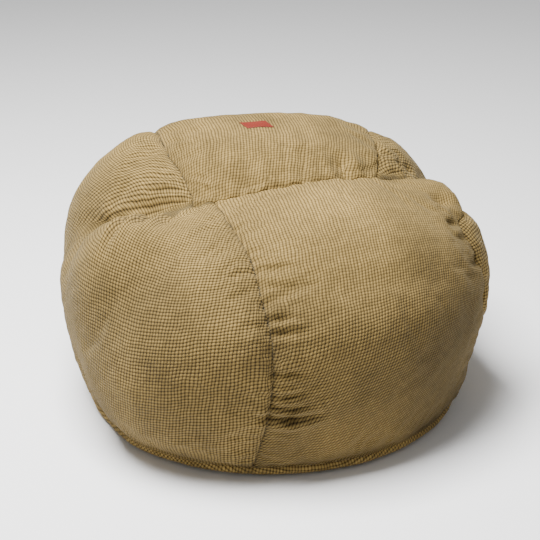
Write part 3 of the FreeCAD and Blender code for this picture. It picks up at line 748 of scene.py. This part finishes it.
def napToneAndPaintedShade(name, points):
    # painted shade and painted light by place, chosen for the look and not a measured lie of the pile: walls painted
    # darker below the top, the right side's rear facet in painted shade, base rim and right edge painted lighter, with
    # some nap tone
    x, y, z = points.T
    # painted shade: the walls darker below the top, away from the light above
    nap = 1 - 0.28 * (1 - smoothStep(0.38, 0.50, z))
    # more painted shade low on the front panel
    if name == "front_centre_panel":
        nap -= 0.12 * (1 - smoothStep(0.18, 0.40, z))
    # painted shade on the right side's rear facet, which faces away from the light
    if name == "right_side_panel":
        nap -= 0.18 * (y > creaseLine(x))
    # painted light on the base rim
    if name == "base_panel":
        nap += 0.42
    # painted light on the right edge
    nap += 0.30 * smoothStep(0.40, 0.46, x) * (z > bagForm["seamHeight"])
    # a darker band on the front panel, part nap tone and part painted shade
    if name == "front_centre_panel":
        nap -= 0.13 * smoothStep(0.17, 0.28, x) * (1 - smoothStep(0.38, 0.42, x))
    nap += 0.10 * softNoise(points, 0.22, 44, 2)
    # stripes of nap tone on the back panel, and the whole panel darker
    if name == "back_centre_panel":
        nap += 0.14 * softNoise(np.stack([x, 0.25 * y], axis=1), 0.06, 45, 2) - 0.13
    return nap


coverMaterial = chenilleWaffle()


def wovenMaterial(name, colour, dark, thread, roughness, height, axes=("X", "Y", "Z")):
    # a plain or twill weave from its own thread spacing, on Object coordinates
    material, tree, shader = newMaterial(name, Roughness=roughness)
    place = addNode(tree, "ShaderNodeTexCoord")
    waves = []
    for axis in axes:
        waves.append(addNode(tree, "ShaderNodeTexWave", {"Vector": place.outputs["Object"], "Scale": 0.314 / thread,
                                                         "Distortion": 0.6, "Detail": 1.0}, bands_direction=axis))
    weave = addNode(tree, "ShaderNodeMath", {0: waves[0].outputs["Fac"], 1: waves[1].outputs["Fac"]},
                    operation="MULTIPLY")
    if len(waves) > 2:
        weave = addNode(tree, "ShaderNodeMath", {0: weave, 1: waves[2].outputs["Fac"]}, operation="MAXIMUM")
    cloudy = addNode(tree, "ShaderNodeTexNoise", {"Vector": place.outputs["Object"], "Scale": 9.0, "Detail": 3.0})
    share = addNode(tree, "ShaderNodeMath", {0: weave, 1: cloudy.outputs["Fac"]}, operation="MULTIPLY")
    ramp = addNode(tree, "ShaderNodeValToRGB", {"Fac": share})
    ramp.color_ramp.elements[0].color = linear(dark)
    ramp.color_ramp.elements[1].color = linear(colour)
    ramp.color_ramp.elements[1].position = 0.55
    bump = addNode(tree, "ShaderNodeBump", {"Height": weave, "Distance": height, "Strength": 0.7})
    tree.links.new(ramp.outputs["Color"], shader.inputs["Base Color"])
    tree.links.new(bump.outputs["Normal"], shader.inputs["Normal"])
    return material


def castMetal():
    # Zinc alloy, die cast and plated antique brass: dark in the hollows, rubbed brighter where it is handled.
    material, tree, shader = newMaterial("zinc alloy, antique brass plated", Metallic=1.0)
    place = addNode(tree, "ShaderNodeTexCoord")
    rubbed = addNode(tree, "ShaderNodeTexNoise", {"Vector": place.outputs["Object"], "Scale": 180.0, "Detail": 4.0})
    ramp = addNode(tree, "ShaderNodeValToRGB", {"Fac": rubbed.outputs["Fac"]})
    ramp.color_ramp.elements[0].position, ramp.color_ramp.elements[0].color = 0.35, linear("#4b3d24")
    ramp.color_ramp.elements[1].position, ramp.color_ramp.elements[1].color = 0.68, linear("#a8905a")
    gloss = addNode(tree, "ShaderNodeMapRange", {"Value": rubbed.outputs["Fac"], "To Min": 0.50, "To Max": 0.26})
    bump = addNode(tree, "ShaderNodeBump", {"Height": rubbed.outputs["Fac"], "Distance": 0.00015, "Strength": 0.5})
    tree.links.new(ramp.outputs["Color"], shader.inputs["Base Color"])
    tree.links.new(gloss.outputs[0], shader.inputs["Roughness"])
    tree.links.new(bump.outputs["Normal"], shader.inputs["Normal"])
    return material


def nylonWire():
    # Nylon monofilament, extruded and heat set into a coil: smooth with a soft waxy shine.
    material, tree, shader = newMaterial("nylon monofilament, coiled", Roughness=0.34)
    place = addNode(tree, "ShaderNodeTexCoord")
    dye = addNode(tree, "ShaderNodeTexNoise", {"Vector": place.outputs["Object"], "Scale": 40.0, "Detail": 2.0})
    ramp = addNode(tree, "ShaderNodeValToRGB", {"Fac": dye.outputs["Fac"]})
    ramp.color_ramp.elements[0].color = linear("#3f3521")
    ramp.color_ramp.elements[1].color = linear("#6a5b3c")
    tree.links.new(ramp.outputs["Color"], shader.inputs["Base Color"])
    return material


def foamCrumb():
    # Shredded polyurethane foam: torn crumbs, open cells, yellowed cream, no shine.
    material, tree, shader = newMaterial("polyurethane foam, shredded", Roughness=0.95)
    place = addNode(tree, "ShaderNodeTexCoord")
    crumbs = addNode(tree, "ShaderNodeTexVoronoi", {"Vector": place.outputs["Object"], "Scale": 70.0})
    cells = addNode(tree, "ShaderNodeTexNoise", {"Vector": place.outputs["Object"], "Scale": 700.0, "Detail": 2.0})
    height = addNode(tree, "ShaderNodeMath", {0: cells.outputs["Fac"], 1: 0.2, 2: crumbs.outputs["Distance"]},
                     operation="MULTIPLY_ADD")
    ramp = addNode(tree, "ShaderNodeValToRGB", {"Fac": crumbs.outputs["Distance"]})
    ramp.color_ramp.elements[0].color = linear("#efe3b8")
    ramp.color_ramp.elements[1].color = linear("#bfae78")
    bump = addNode(tree, "ShaderNodeBump", {"Height": height, "Distance": 0.004, "Strength": 0.8})
    tree.links.new(ramp.outputs["Color"], shader.inputs["Base Color"])
    tree.links.new(bump.outputs["Normal"], shader.inputs["Normal"])
    return material


# The first number is each weave's thread spacing. Real taffeta (0.2 mm), tape (0.5 mm) and ribbon (0.2 mm) are too
# fine to show, so they are drawn coarser. Taffeta is crisp and faintly shiny, tape is dull, satin shines softly.
linerMaterial = wovenMaterial("polyester taffeta, plain woven", "#d8d3c6", "#a9a392", 0.0012, 0.55, 0.0002)
tapeMaterial = wovenMaterial("polyester zip tape, twill woven", "#6d5f41", "#3a311e", 0.0009, 0.75, 0.0003)
ribbonMaterial = wovenMaterial("polyester satin ribbon, woven and dyed red", "#8a2103", "#571402",
                               0.0009, 0.5, 0.00015, ("X", "Y"))
careMaterial = wovenMaterial("polyester satin ribbon, woven, white", "#e9e6dd", "#c4c0b4", 0.0009, 0.45, 0.00015,
                             ("X", "Z"))
threadMaterial = wovenMaterial("polyester sewing thread, twisted", "#7c2a18", "#4c180d", 0.0006, 0.6, 0.0001)
metalMaterial = castMetal()
coilMaterial = nylonWire()
foamMaterial = foamCrumb()
keptParts = {
    "zip_tape_upper": tapeMaterial, "zip_tape_lower": tapeMaterial, "liner_zip_tape_front": tapeMaterial,
    "liner_zip_tape_back": tapeMaterial, "zip_bottom_stop": metalMaterial, "zip_top_stop": metalMaterial,
    "zip_slider": metalMaterial, "zip_pull": metalMaterial, "liner_zip_stops": metalMaterial,
    "liner_zip_slider": metalMaterial,
}
for name, material in keptParts.items():
    for place in bpy.data.objects[name].material_slots:
        place.material = material
print("materials made")

area = {}
for name, chosen in panels.items():
    used, part = keepPart(faces, chosen)
    thing = meshObject(name + "_cloth", shown[used], part)
    clothPlace = grainOf(name, rest[used])
    mesh = thing.data
    uvLayer = mesh.uv_layers.new(name="cloth")
    corners = np.empty(len(mesh.loops), np.int32)
    mesh.loops.foreach_get("vertex_index", corners)
    uvLayer.data.foreach_set("uv", clothPlace[corners].astype(np.float32).ravel())
    a, b, c = (shown[used][part[:, k]] for k in range(3))
    # the nap attribute holds nap tone with painted shade and painted light by place
    for attribute, values in {"nap": napToneAndPaintedShade, "rowDepth": rowDepthOf}.items():
        made = mesh.attributes.new(attribute, "FLOAT", "POINT")
        made.data.foreach_set("value", values(name, rest[used]).astype(np.float32))
    area[name] = float(np.linalg.norm(np.cross(b - a, c - a), axis=1).sum() / 2)
    mesh.materials.append(coverMaterial)
    if name == "base_panel":
        fewer = thing.modifiers.new("fewer", "DECIMATE")        # only its flat underside changes
        fewer.ratio = 0.8
    shell = thing.modifiers.new("thickness", "SOLIDIFY")
    shell.thickness = cloth["thickness"]
    shell.offset = -1
    shell.use_rim = True
    shell.use_even_offset = False
    applyModifiers(thing)
    side = math.sqrt(area[name] * cloth["waste"])
    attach(thing, "bag")
    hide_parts(name)
    print(name, "triangles", sum(len(p.vertices) - 2 for p in thing.data.polygons), "area", round(area[name], 3))

# The loose liner and the fill keep just under the cover wherever it dips.
def under(inset, level, keepNear):
    ways, parts = bagDirections(level)
    start = onBag(ways, np.full(len(ways), 0.85), inset, steps=50)
    points = np.array(bagForm["centre"]) + ways * start[:, None]
    outer = np.array(bagForm["centre"]) + ways * onBag(ways, start + inset + 0.005, steps=20)[:, None]
    dip = np.minimum(coverHeight(outer), 0)
    if level <= coarseLevel:
        pushed = coarseWrinkles[:len(points)]
        dip = dip + np.minimum((pushed * normalsOf(outer, parts)).sum(1), 0)
    edges, _ = edgesOf(parts)
    for _ in range(2):
        lowest = dip.copy()
        np.minimum.at(lowest, edges[:, 0], dip[edges[:, 1]])
        np.minimum.at(lowest, edges[:, 1], dip[edges[:, 0]])
        dip = lowest
    dip = smoothed(dip[:, None], parts, 3)[:, 0]
    points = points + ways * (dip - keepNear * np.abs(softNoise(points, 0.12, 61)))[:, None]
    points[:, 2] = np.maximum(points[:, 2], inset)
    return points, parts


def declared(thing, name):
    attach(thing, "bag")
    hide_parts(name)


liner = {"inset": 0.013, "loose": 0.0015, "thickness": 0.0012, "seamHeight": 0.034, "waste": 1.1,
         "zipMiddle": 0.060, "zipHalf": 0.007, "zipReach": 0.233}       # the zip's slot runs along X in the base
linerPoints, linerFaces = under(liner["inset"], coarseLevel, liner["loose"])
for level in (lambda c: c[:, 0], lambda c: c[:, 2] - liner["seamHeight"],
              lambda c: c[:, 1] - (liner["zipMiddle"] - liner["zipHalf"]),
              lambda c: c[:, 1] - (liner["zipMiddle"] + liner["zipHalf"]),
              lambda c: c[:, 0] - liner["zipReach"], lambda c: c[:, 0] + liner["zipReach"]):
    linerPoints, linerFaces = cutAlong(linerPoints, linerFaces, level)
linerMiddle = linerPoints[linerFaces].mean(1)
aboveBase = linerMiddle[:, 2] > liner["seamHeight"]
slotHere = ((np.abs(linerMiddle[:, 1] - liner["zipMiddle"]) < liner["zipHalf"])
            & (np.abs(linerMiddle[:, 0]) < liner["zipReach"]) & (linerMiddle[:, 2] < 0.02))
for name, chosen in {"liner_left_half": aboveBase & (linerMiddle[:, 0] < 0), "liner_base": ~aboveBase & ~slotHere,
                     "liner_right_half": aboveBase & (linerMiddle[:, 0] >= 0)}.items():
    used, part = keepPart(linerFaces, chosen)
    thing = meshObject(name + "_cloth", linerPoints[used], part)
    a, b, c = (linerPoints[used][part[:, k]] for k in range(3))
    size = float(np.linalg.norm(np.cross(b - a, c - a), axis=1).sum() / 2)
    shell = thing.modifiers.new("thickness", "SOLIDIFY")
    shell.thickness = liner["thickness"]
    shell.offset = -1
    applyModifiers(thing)
    declared(thing, name)
    side = round(math.sqrt(size * liner["waste"]), 3)
    thing.data.materials.append(linerMaterial)
foam = {"inset": 0.018, "loose": 0.003, "tight": 0.8}
fillPoints, fillFaces = under(foam["inset"], coarseLevel, foam["loose"])
fill = meshObject("foam_fill_loose", fillPoints, fillFaces)
declared(fill, "foam_fill")
fill.data.materials.append(foamMaterial)
print("liner and fill made")


# The labels lie on the cover: each is cut from a grid of points dropped onto it.
def coverNear(place, reach):
    close = (np.linalg.norm(shown - np.array(place), axis=1) < reach)[faces].all(1)
    kept, part = keepPart(faces, close & ~inSlot)
    return BVHTree.FromPolygons([Vector(p) for p in shown[kept]], part.tolist())


def dropped(tree, starts, way, lift):
    result = []
    for start in starts:
        hit, normal, _, _ = tree.ray_cast(Vector(start), Vector(way))
        outward = normal if normal.dot(Vector(way)) < 0 else -normal
        result.append(np.array(hit + outward * lift))
    return np.array(result)


def labelOn(name, corners, way, steps, thickness, material):
    corners = np.array(corners)
    tree = coverNear(corners.mean(0), 0.09)
    u, v = np.meshgrid(np.linspace(0, 1, steps[0]), np.linspace(0, 1, steps[1]), indexing="ij")
    u, v = u.ravel()[:, None], v.ravel()[:, None]
    starts = ((corners[0] * (1 - u) + corners[1] * u) * (1 - v) + (corners[3] * (1 - u) + corners[2] * u) * v
              - np.array(way) * 0.1)
    points = dropped(tree, starts, way, 0.0006)
    grid = np.arange(steps[0] * steps[1]).reshape(steps)
    quads = np.stack([grid[:-1, :-1], grid[1:, :-1], grid[1:, 1:], grid[:-1, 1:]], axis=-1).reshape(-1, 4)
    p, q, r = points[quads[0, 0]], points[quads[0, 1]], points[quads[0, 2]]
    if np.cross(q - p, r - p) @ np.array(way) > 0:
        quads = quads[:, ::-1]
    thing = meshObject(name + "_ribbon", points, quads)
    shell = thing.modifiers.new("thickness", "SOLIDIFY")
    shell.thickness = thickness
    shell.offset = 1
    edge = thing.modifiers.new("edge", "BEVEL")
    edge.width = thickness * 0.3
    edge.segments = 2
    applyModifiers(thing)
    declared(thing, name)
    thing.data.materials.append(material)
    return tree, corners


redLabel = {"corners": [(-0.040, 0.170, 0.6), (0.020, 0.163, 0.6), (0.032, 0.126, 0.6), (-0.028, 0.129, 0.6)],
            "size": (0.059, 0.040), "thickness": 0.0010, "stitch": 0.0026, "gap": 0.0036, "inset": 0.07}
labelTree, labelCorners = labelOn("red_label", redLabel["corners"], (0, 0, -1), (27, 17),
                                  redLabel["thickness"], ribbonMaterial)
careLabel = {"left": 0.244, "right": 0.288, "low": 0.096, "high": 0.126, "thickness": 0.0007}
c = careLabel
labelOn("care_label", [(c["left"], 0.40, c["low"]), (c["right"], 0.37, c["low"]),
                                      (c["right"], 0.37, c["high"]), (c["left"], 0.40, c["high"])],
        (-0.5, -0.86, 0), (21, 15), c["thickness"], careMaterial)


# Whatever repeats along a path, as a node tree: the zips' coils and the label's stitches.
def pathTree(name, sizes):
    tree = bpy.data.node_groups.new(name, "GeometryNodeTree")
    tree.interface.new_socket("Geometry", in_out="INPUT", socket_type="NodeSocketGeometry")
    for label, kind in sizes.items():
        tree.interface.new_socket(label, in_out="INPUT", socket_type=kind)
    tree.interface.new_socket("Geometry", in_out="OUTPUT", socket_type="NodeSocketGeometry")
    return tree, addNode(tree, "NodeGroupInput"), addNode(tree, "NodeGroupOutput")


def finishTree(tree, given, out, points, instance, rotation):
    placed = addNode(tree, "GeometryNodeInstanceOnPoints",
                     {"Points": points, "Instance": instance, "Rotation": rotation})
    real = addNode(tree, "GeometryNodeRealizeInstances", {"Geometry": placed.outputs["Instances"]})
    rounded = addNode(tree, "GeometryNodeSetShadeSmooth", {"Geometry": real.outputs["Geometry"]})
    coloured = addNode(tree, "GeometryNodeSetMaterial", {"Geometry": rounded.outputs["Geometry"],
                                                         "Material": given.outputs["Material"]})
    tree.links.new(coloured.outputs["Geometry"], out.inputs["Geometry"])


def coilTree():
    tree, given, out = pathTree("zip coil", {
        "Pitch": "NodeSocketFloat", "Loop Width": "NodeSocketFloat", "Loop Thickness": "NodeSocketFloat",
        "Wire": "NodeSocketFloat", "Aside": "NodeSocketFloat", "Lean": "NodeSocketFloat", "Ring": "NodeSocketFloat",
        "Side": "NodeSocketVector", "Material": "NodeSocketMaterial"})
    path = addNode(tree, "GeometryNodeResampleCurve",
                   {"Curve": given.outputs["Geometry"], "Length": given.outputs["Pitch"]}, mode="LENGTH")
    place = addNode(tree, "GeometryNodeInputPosition")
    flat = addNode(tree, "ShaderNodeVectorMath", {0: place, 1: (1, 1, 0)}, operation="MULTIPLY")
    outward = addNode(tree, "ShaderNodeVectorMath", {0: flat}, operation="NORMALIZE")
    sine = addNode(tree, "ShaderNodeMath", {0: given.outputs["Lean"]}, operation="SINE")
    cosine = addNode(tree, "ShaderNodeMath", {0: given.outputs["Lean"]}, operation="COSINE")
    leanOut = addNode(tree, "ShaderNodeVectorMath", {0: outward, "Scale": sine}, operation="SCALE")
    leanUp = addNode(tree, "ShaderNodeCombineXYZ", {"Z": cosine})
    upWall = addNode(tree, "ShaderNodeVectorMath", {0: leanOut, 1: leanUp}, operation="ADD")
    onRing = addNode(tree, "ShaderNodeVectorMath", {0: upWall, "Scale": given.outputs["Ring"]}, operation="SCALE")
    lean = addNode(tree, "ShaderNodeVectorMath", {0: onRing, 1: given.outputs["Side"]}, operation="ADD")
    shift = addNode(tree, "ShaderNodeVectorMath", {0: lean, "Scale": given.outputs["Aside"]}, operation="SCALE")
    moved = addNode(tree, "GeometryNodeSetPosition", {"Geometry": path.outputs["Curve"], "Offset": shift})
    along = addNode(tree, "GeometryNodeInputTangent")
    facing = addNode(tree, "FunctionNodeAlignRotationToVector", {"Vector": along}, axis="Z")
    turned = addNode(tree, "FunctionNodeAlignRotationToVector", {"Rotation": facing, "Vector": lean},
                     axis="X", pivot_axis="Z")
    loop = addNode(tree, "GeometryNodeCurvePrimitiveCircle", {"Resolution": 8, "Radius": 0.5})
    size = addNode(tree, "ShaderNodeCombineXYZ",
                   {"X": given.outputs["Loop Width"], "Y": given.outputs["Loop Thickness"], "Z": 1.0})
    oval = addNode(tree, "GeometryNodeTransform", {"Geometry": loop.outputs["Curve"], "Scale": size})
    wire = addNode(tree, "GeometryNodeCurvePrimitiveCircle", {"Resolution": 5, "Radius": given.outputs["Wire"]})
    tooth = addNode(tree, "GeometryNodeCurveToMesh", {"Curve": oval, "Profile Curve": wire.outputs["Curve"]})
    finishTree(tree, given, out, moved.outputs["Geometry"], tooth.outputs["Mesh"], turned.outputs[0])
    return tree


def stitchTree():
    tree, given, out = pathTree("stitches", {"Pitch": "NodeSocketFloat", "Stitch": "NodeSocketFloat",
                                             "Thread": "NodeSocketFloat", "Material": "NodeSocketMaterial"})
    path = addNode(tree, "GeometryNodeResampleCurve",
                   {"Curve": given.outputs["Geometry"], "Length": given.outputs["Pitch"]}, mode="LENGTH")
    along = addNode(tree, "GeometryNodeInputTangent")
    facing = addNode(tree, "FunctionNodeAlignRotationToVector", {"Vector": along}, axis="Z")
    ball = addNode(tree, "GeometryNodeMeshUVSphere", {"Segments": 6, "Rings": 4, "Radius": 0.5})
    size = addNode(tree, "ShaderNodeCombineXYZ", {"X": given.outputs["Thread"], "Y": given.outputs["Thread"],
                                                  "Z": given.outputs["Stitch"]})
    stitch = addNode(tree, "GeometryNodeTransform", {"Geometry": ball.outputs["Mesh"], "Scale": size})
    finishTree(tree, given, out, path.outputs["Curve"], stitch.outputs[0], facing.outputs[0])
    return tree


def alongPath(name, points, tree, values, closed=False):
    curve = bpy.data.curves.new(name, "CURVE")
    curve.dimensions = "3D"
    spline = curve.splines.new("POLY")
    spline.points.add(len(points) - 1)
    spline.points.foreach_set("co", np.concatenate([points, np.ones((len(points), 1))], axis=1).ravel())
    spline.use_cyclic_u = closed
    path = bpy.data.objects.new(name + "_path", curve)
    bpy.context.scene.collection.objects.link(path)
    modifier = path.modifiers.new(tree.name, "NODES")
    modifier.node_group = tree
    for item in tree.interface.items_tree:
        if item.item_type == "SOCKET" and item.in_out == "INPUT" and item.name in values:
            modifier[item.identifier] = values[item.name]
    bpy.context.view_layer.update()
    mesh = bpy.data.meshes.new_from_object(path.evaluated_get(bpy.context.evaluated_depsgraph_get()))
    bpy.data.objects.remove(path)
    mesh.name = name
    thing = bpy.data.objects.new(name, mesh)
    bpy.context.scene.collection.objects.link(thing)
    print(name, "made of", len(mesh.polygons), "faces")
    return thing


coilLook = {"radius": 0.4233567, "height": 0.0345, "lean": math.radians(21.4701), "start": 20.4, "end": 159.6,
            "pitch": 0.0020, "wire": 0.00036, "middle": 0.00265, "width": 0.0032, "thickness": 0.0024}
coils = coilTree()
for name, side in {"zip_coil_upper": 1, "zip_coil_lower": -1}.items():
    halfPitch = 0.5 * coilLook["pitch"] / coilLook["radius"] * (side < 0)
    turns = np.radians(np.linspace(coilLook["start"], coilLook["end"], 280)) + halfPitch
    ring = np.stack([np.cos(turns) * coilLook["radius"], np.sin(turns) * coilLook["radius"],
                     np.full(len(turns), coilLook["height"])], axis=1)
    thing = alongPath(name + "_loops", ring, coils, {
        "Pitch": coilLook["pitch"], "Loop Width": coilLook["width"], "Loop Thickness": coilLook["thickness"],
        "Wire": coilLook["wire"], "Aside": coilLook["middle"] * side, "Lean": coilLook["lean"], "Ring": 1.0,
        "Side": (0, 0, 0), "Material": coilMaterial})
    declared(thing, name)
for name, side in {"liner_zip_coil_back": 1, "liner_zip_coil_front": -1}.items():
    low, high = (np.array(corner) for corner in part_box(name))
    line = np.array([(low[0], 0.060, (low[2] + high[2]) / 2), (high[0], 0.060, (low[2] + high[2]) / 2)])
    line[:, 0] += 0.5 * coilLook["pitch"] * (side < 0)
    thing = alongPath(name + "_loops", line, coils, {
        "Pitch": coilLook["pitch"], "Loop Width": coilLook["width"], "Loop Thickness": coilLook["thickness"],
        "Wire": coilLook["wire"], "Aside": coilLook["middle"], "Lean": 0.0, "Ring": 0.0, "Side": (0, side, 0),
        "Material": coilMaterial})
    declared(thing, name)

inner = []
for k in range(4):
    p, q = labelCorners[k], labelCorners[(k + 1) % 4]
    middle = labelCorners.mean(0)
    p, q = (c + (middle - c) * redLabel["inset"] * 1.6 for c in (p, q))
    inner += [p + (q - p) * t for t in np.linspace(0, 1, 12, endpoint=False)]
border = dropped(labelTree, [p + np.array([0, 0, 0.1]) for p in inner], (0, 0, -1), 0.0006 + redLabel["thickness"])
stitches = alongPath("red_label_stitches", border, stitchTree(), {
    "Pitch": redLabel["gap"], "Stitch": redLabel["stitch"], "Thread": 0.0007, "Material": threadMaterial}, closed=True)
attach(stitches, "bag")

# The stage, the lights and the camera.
corners = np.array([(-6, -6, 0), (6, -6, 0), (6, 6, 0), (-6, 6, 0)], float)
floorMesh = meshObject("floor", corners, np.array([[0, 1, 2, 3]]))
floorMesh.location.z = -0.0005
floorMaterial, _, floorShader = newMaterial("matte white paper", Roughness=0.95)
floorShader.inputs["Base Color"].default_value = linear("#f6f6f6")
floorMesh.data.materials.append(floorMaterial)


def areaLight(name, place, target, power, size, colour="#ffffff"):
    data = bpy.data.lights.new(name, "AREA")
    data.energy = power
    data.size = size
    data.color = linear(colour)[:3]
    lamp = bpy.data.objects.new(name, data)
    lamp.location = place
    way = np.array(target) - np.array(place)
    tilt = math.atan2(math.hypot(way[0], way[1]), -way[2])
    lamp.rotation_euler = (tilt, 0, math.atan2(way[1], way[0]) - math.pi / 2)
    bpy.context.scene.collection.objects.link(lamp)
    return lamp


areaLight("keyLight", (-0.9, -0.2, 3.3), (0, 0, 0.25), 430, 1.8)
areaLight("fillLight", (-2.4, -2.8, 1.6), (0, 0, 0.3), 6, 2.2)
world = bpy.data.worlds.new("studio")
bpy.context.scene.world = world
world.use_nodes = True
world.node_tree.nodes["Background"].inputs["Color"].default_value = linear("#ffffff")
world.node_tree.nodes["Background"].inputs["Strength"].default_value = 0.32

view = {"azimuth": -11.45, "elevation": 23.09, "distance": 3.2, "target": (0, 0, 0.30), "lens": 93.6,
        "shift": (-0.0020, -0.0072)}
azimuth, elevation = math.radians(view["azimuth"]), math.radians(view["elevation"])
cameraData = bpy.data.cameras.new("camera")
cameraData.lens = view["lens"]
cameraData.shift_x, cameraData.shift_y = view["shift"]
camera = bpy.data.objects.new("camera", cameraData)
camera.location = (view["target"][0] + view["distance"] * math.sin(azimuth) * math.cos(elevation),
                   view["target"][1] - view["distance"] * math.cos(azimuth) * math.cos(elevation),
                   view["target"][2] + view["distance"] * math.sin(elevation))
camera.rotation_euler = (math.pi / 2 - elevation, 0, azimuth)
bpy.context.scene.collection.objects.link(camera)
bpy.context.scene.camera = camera
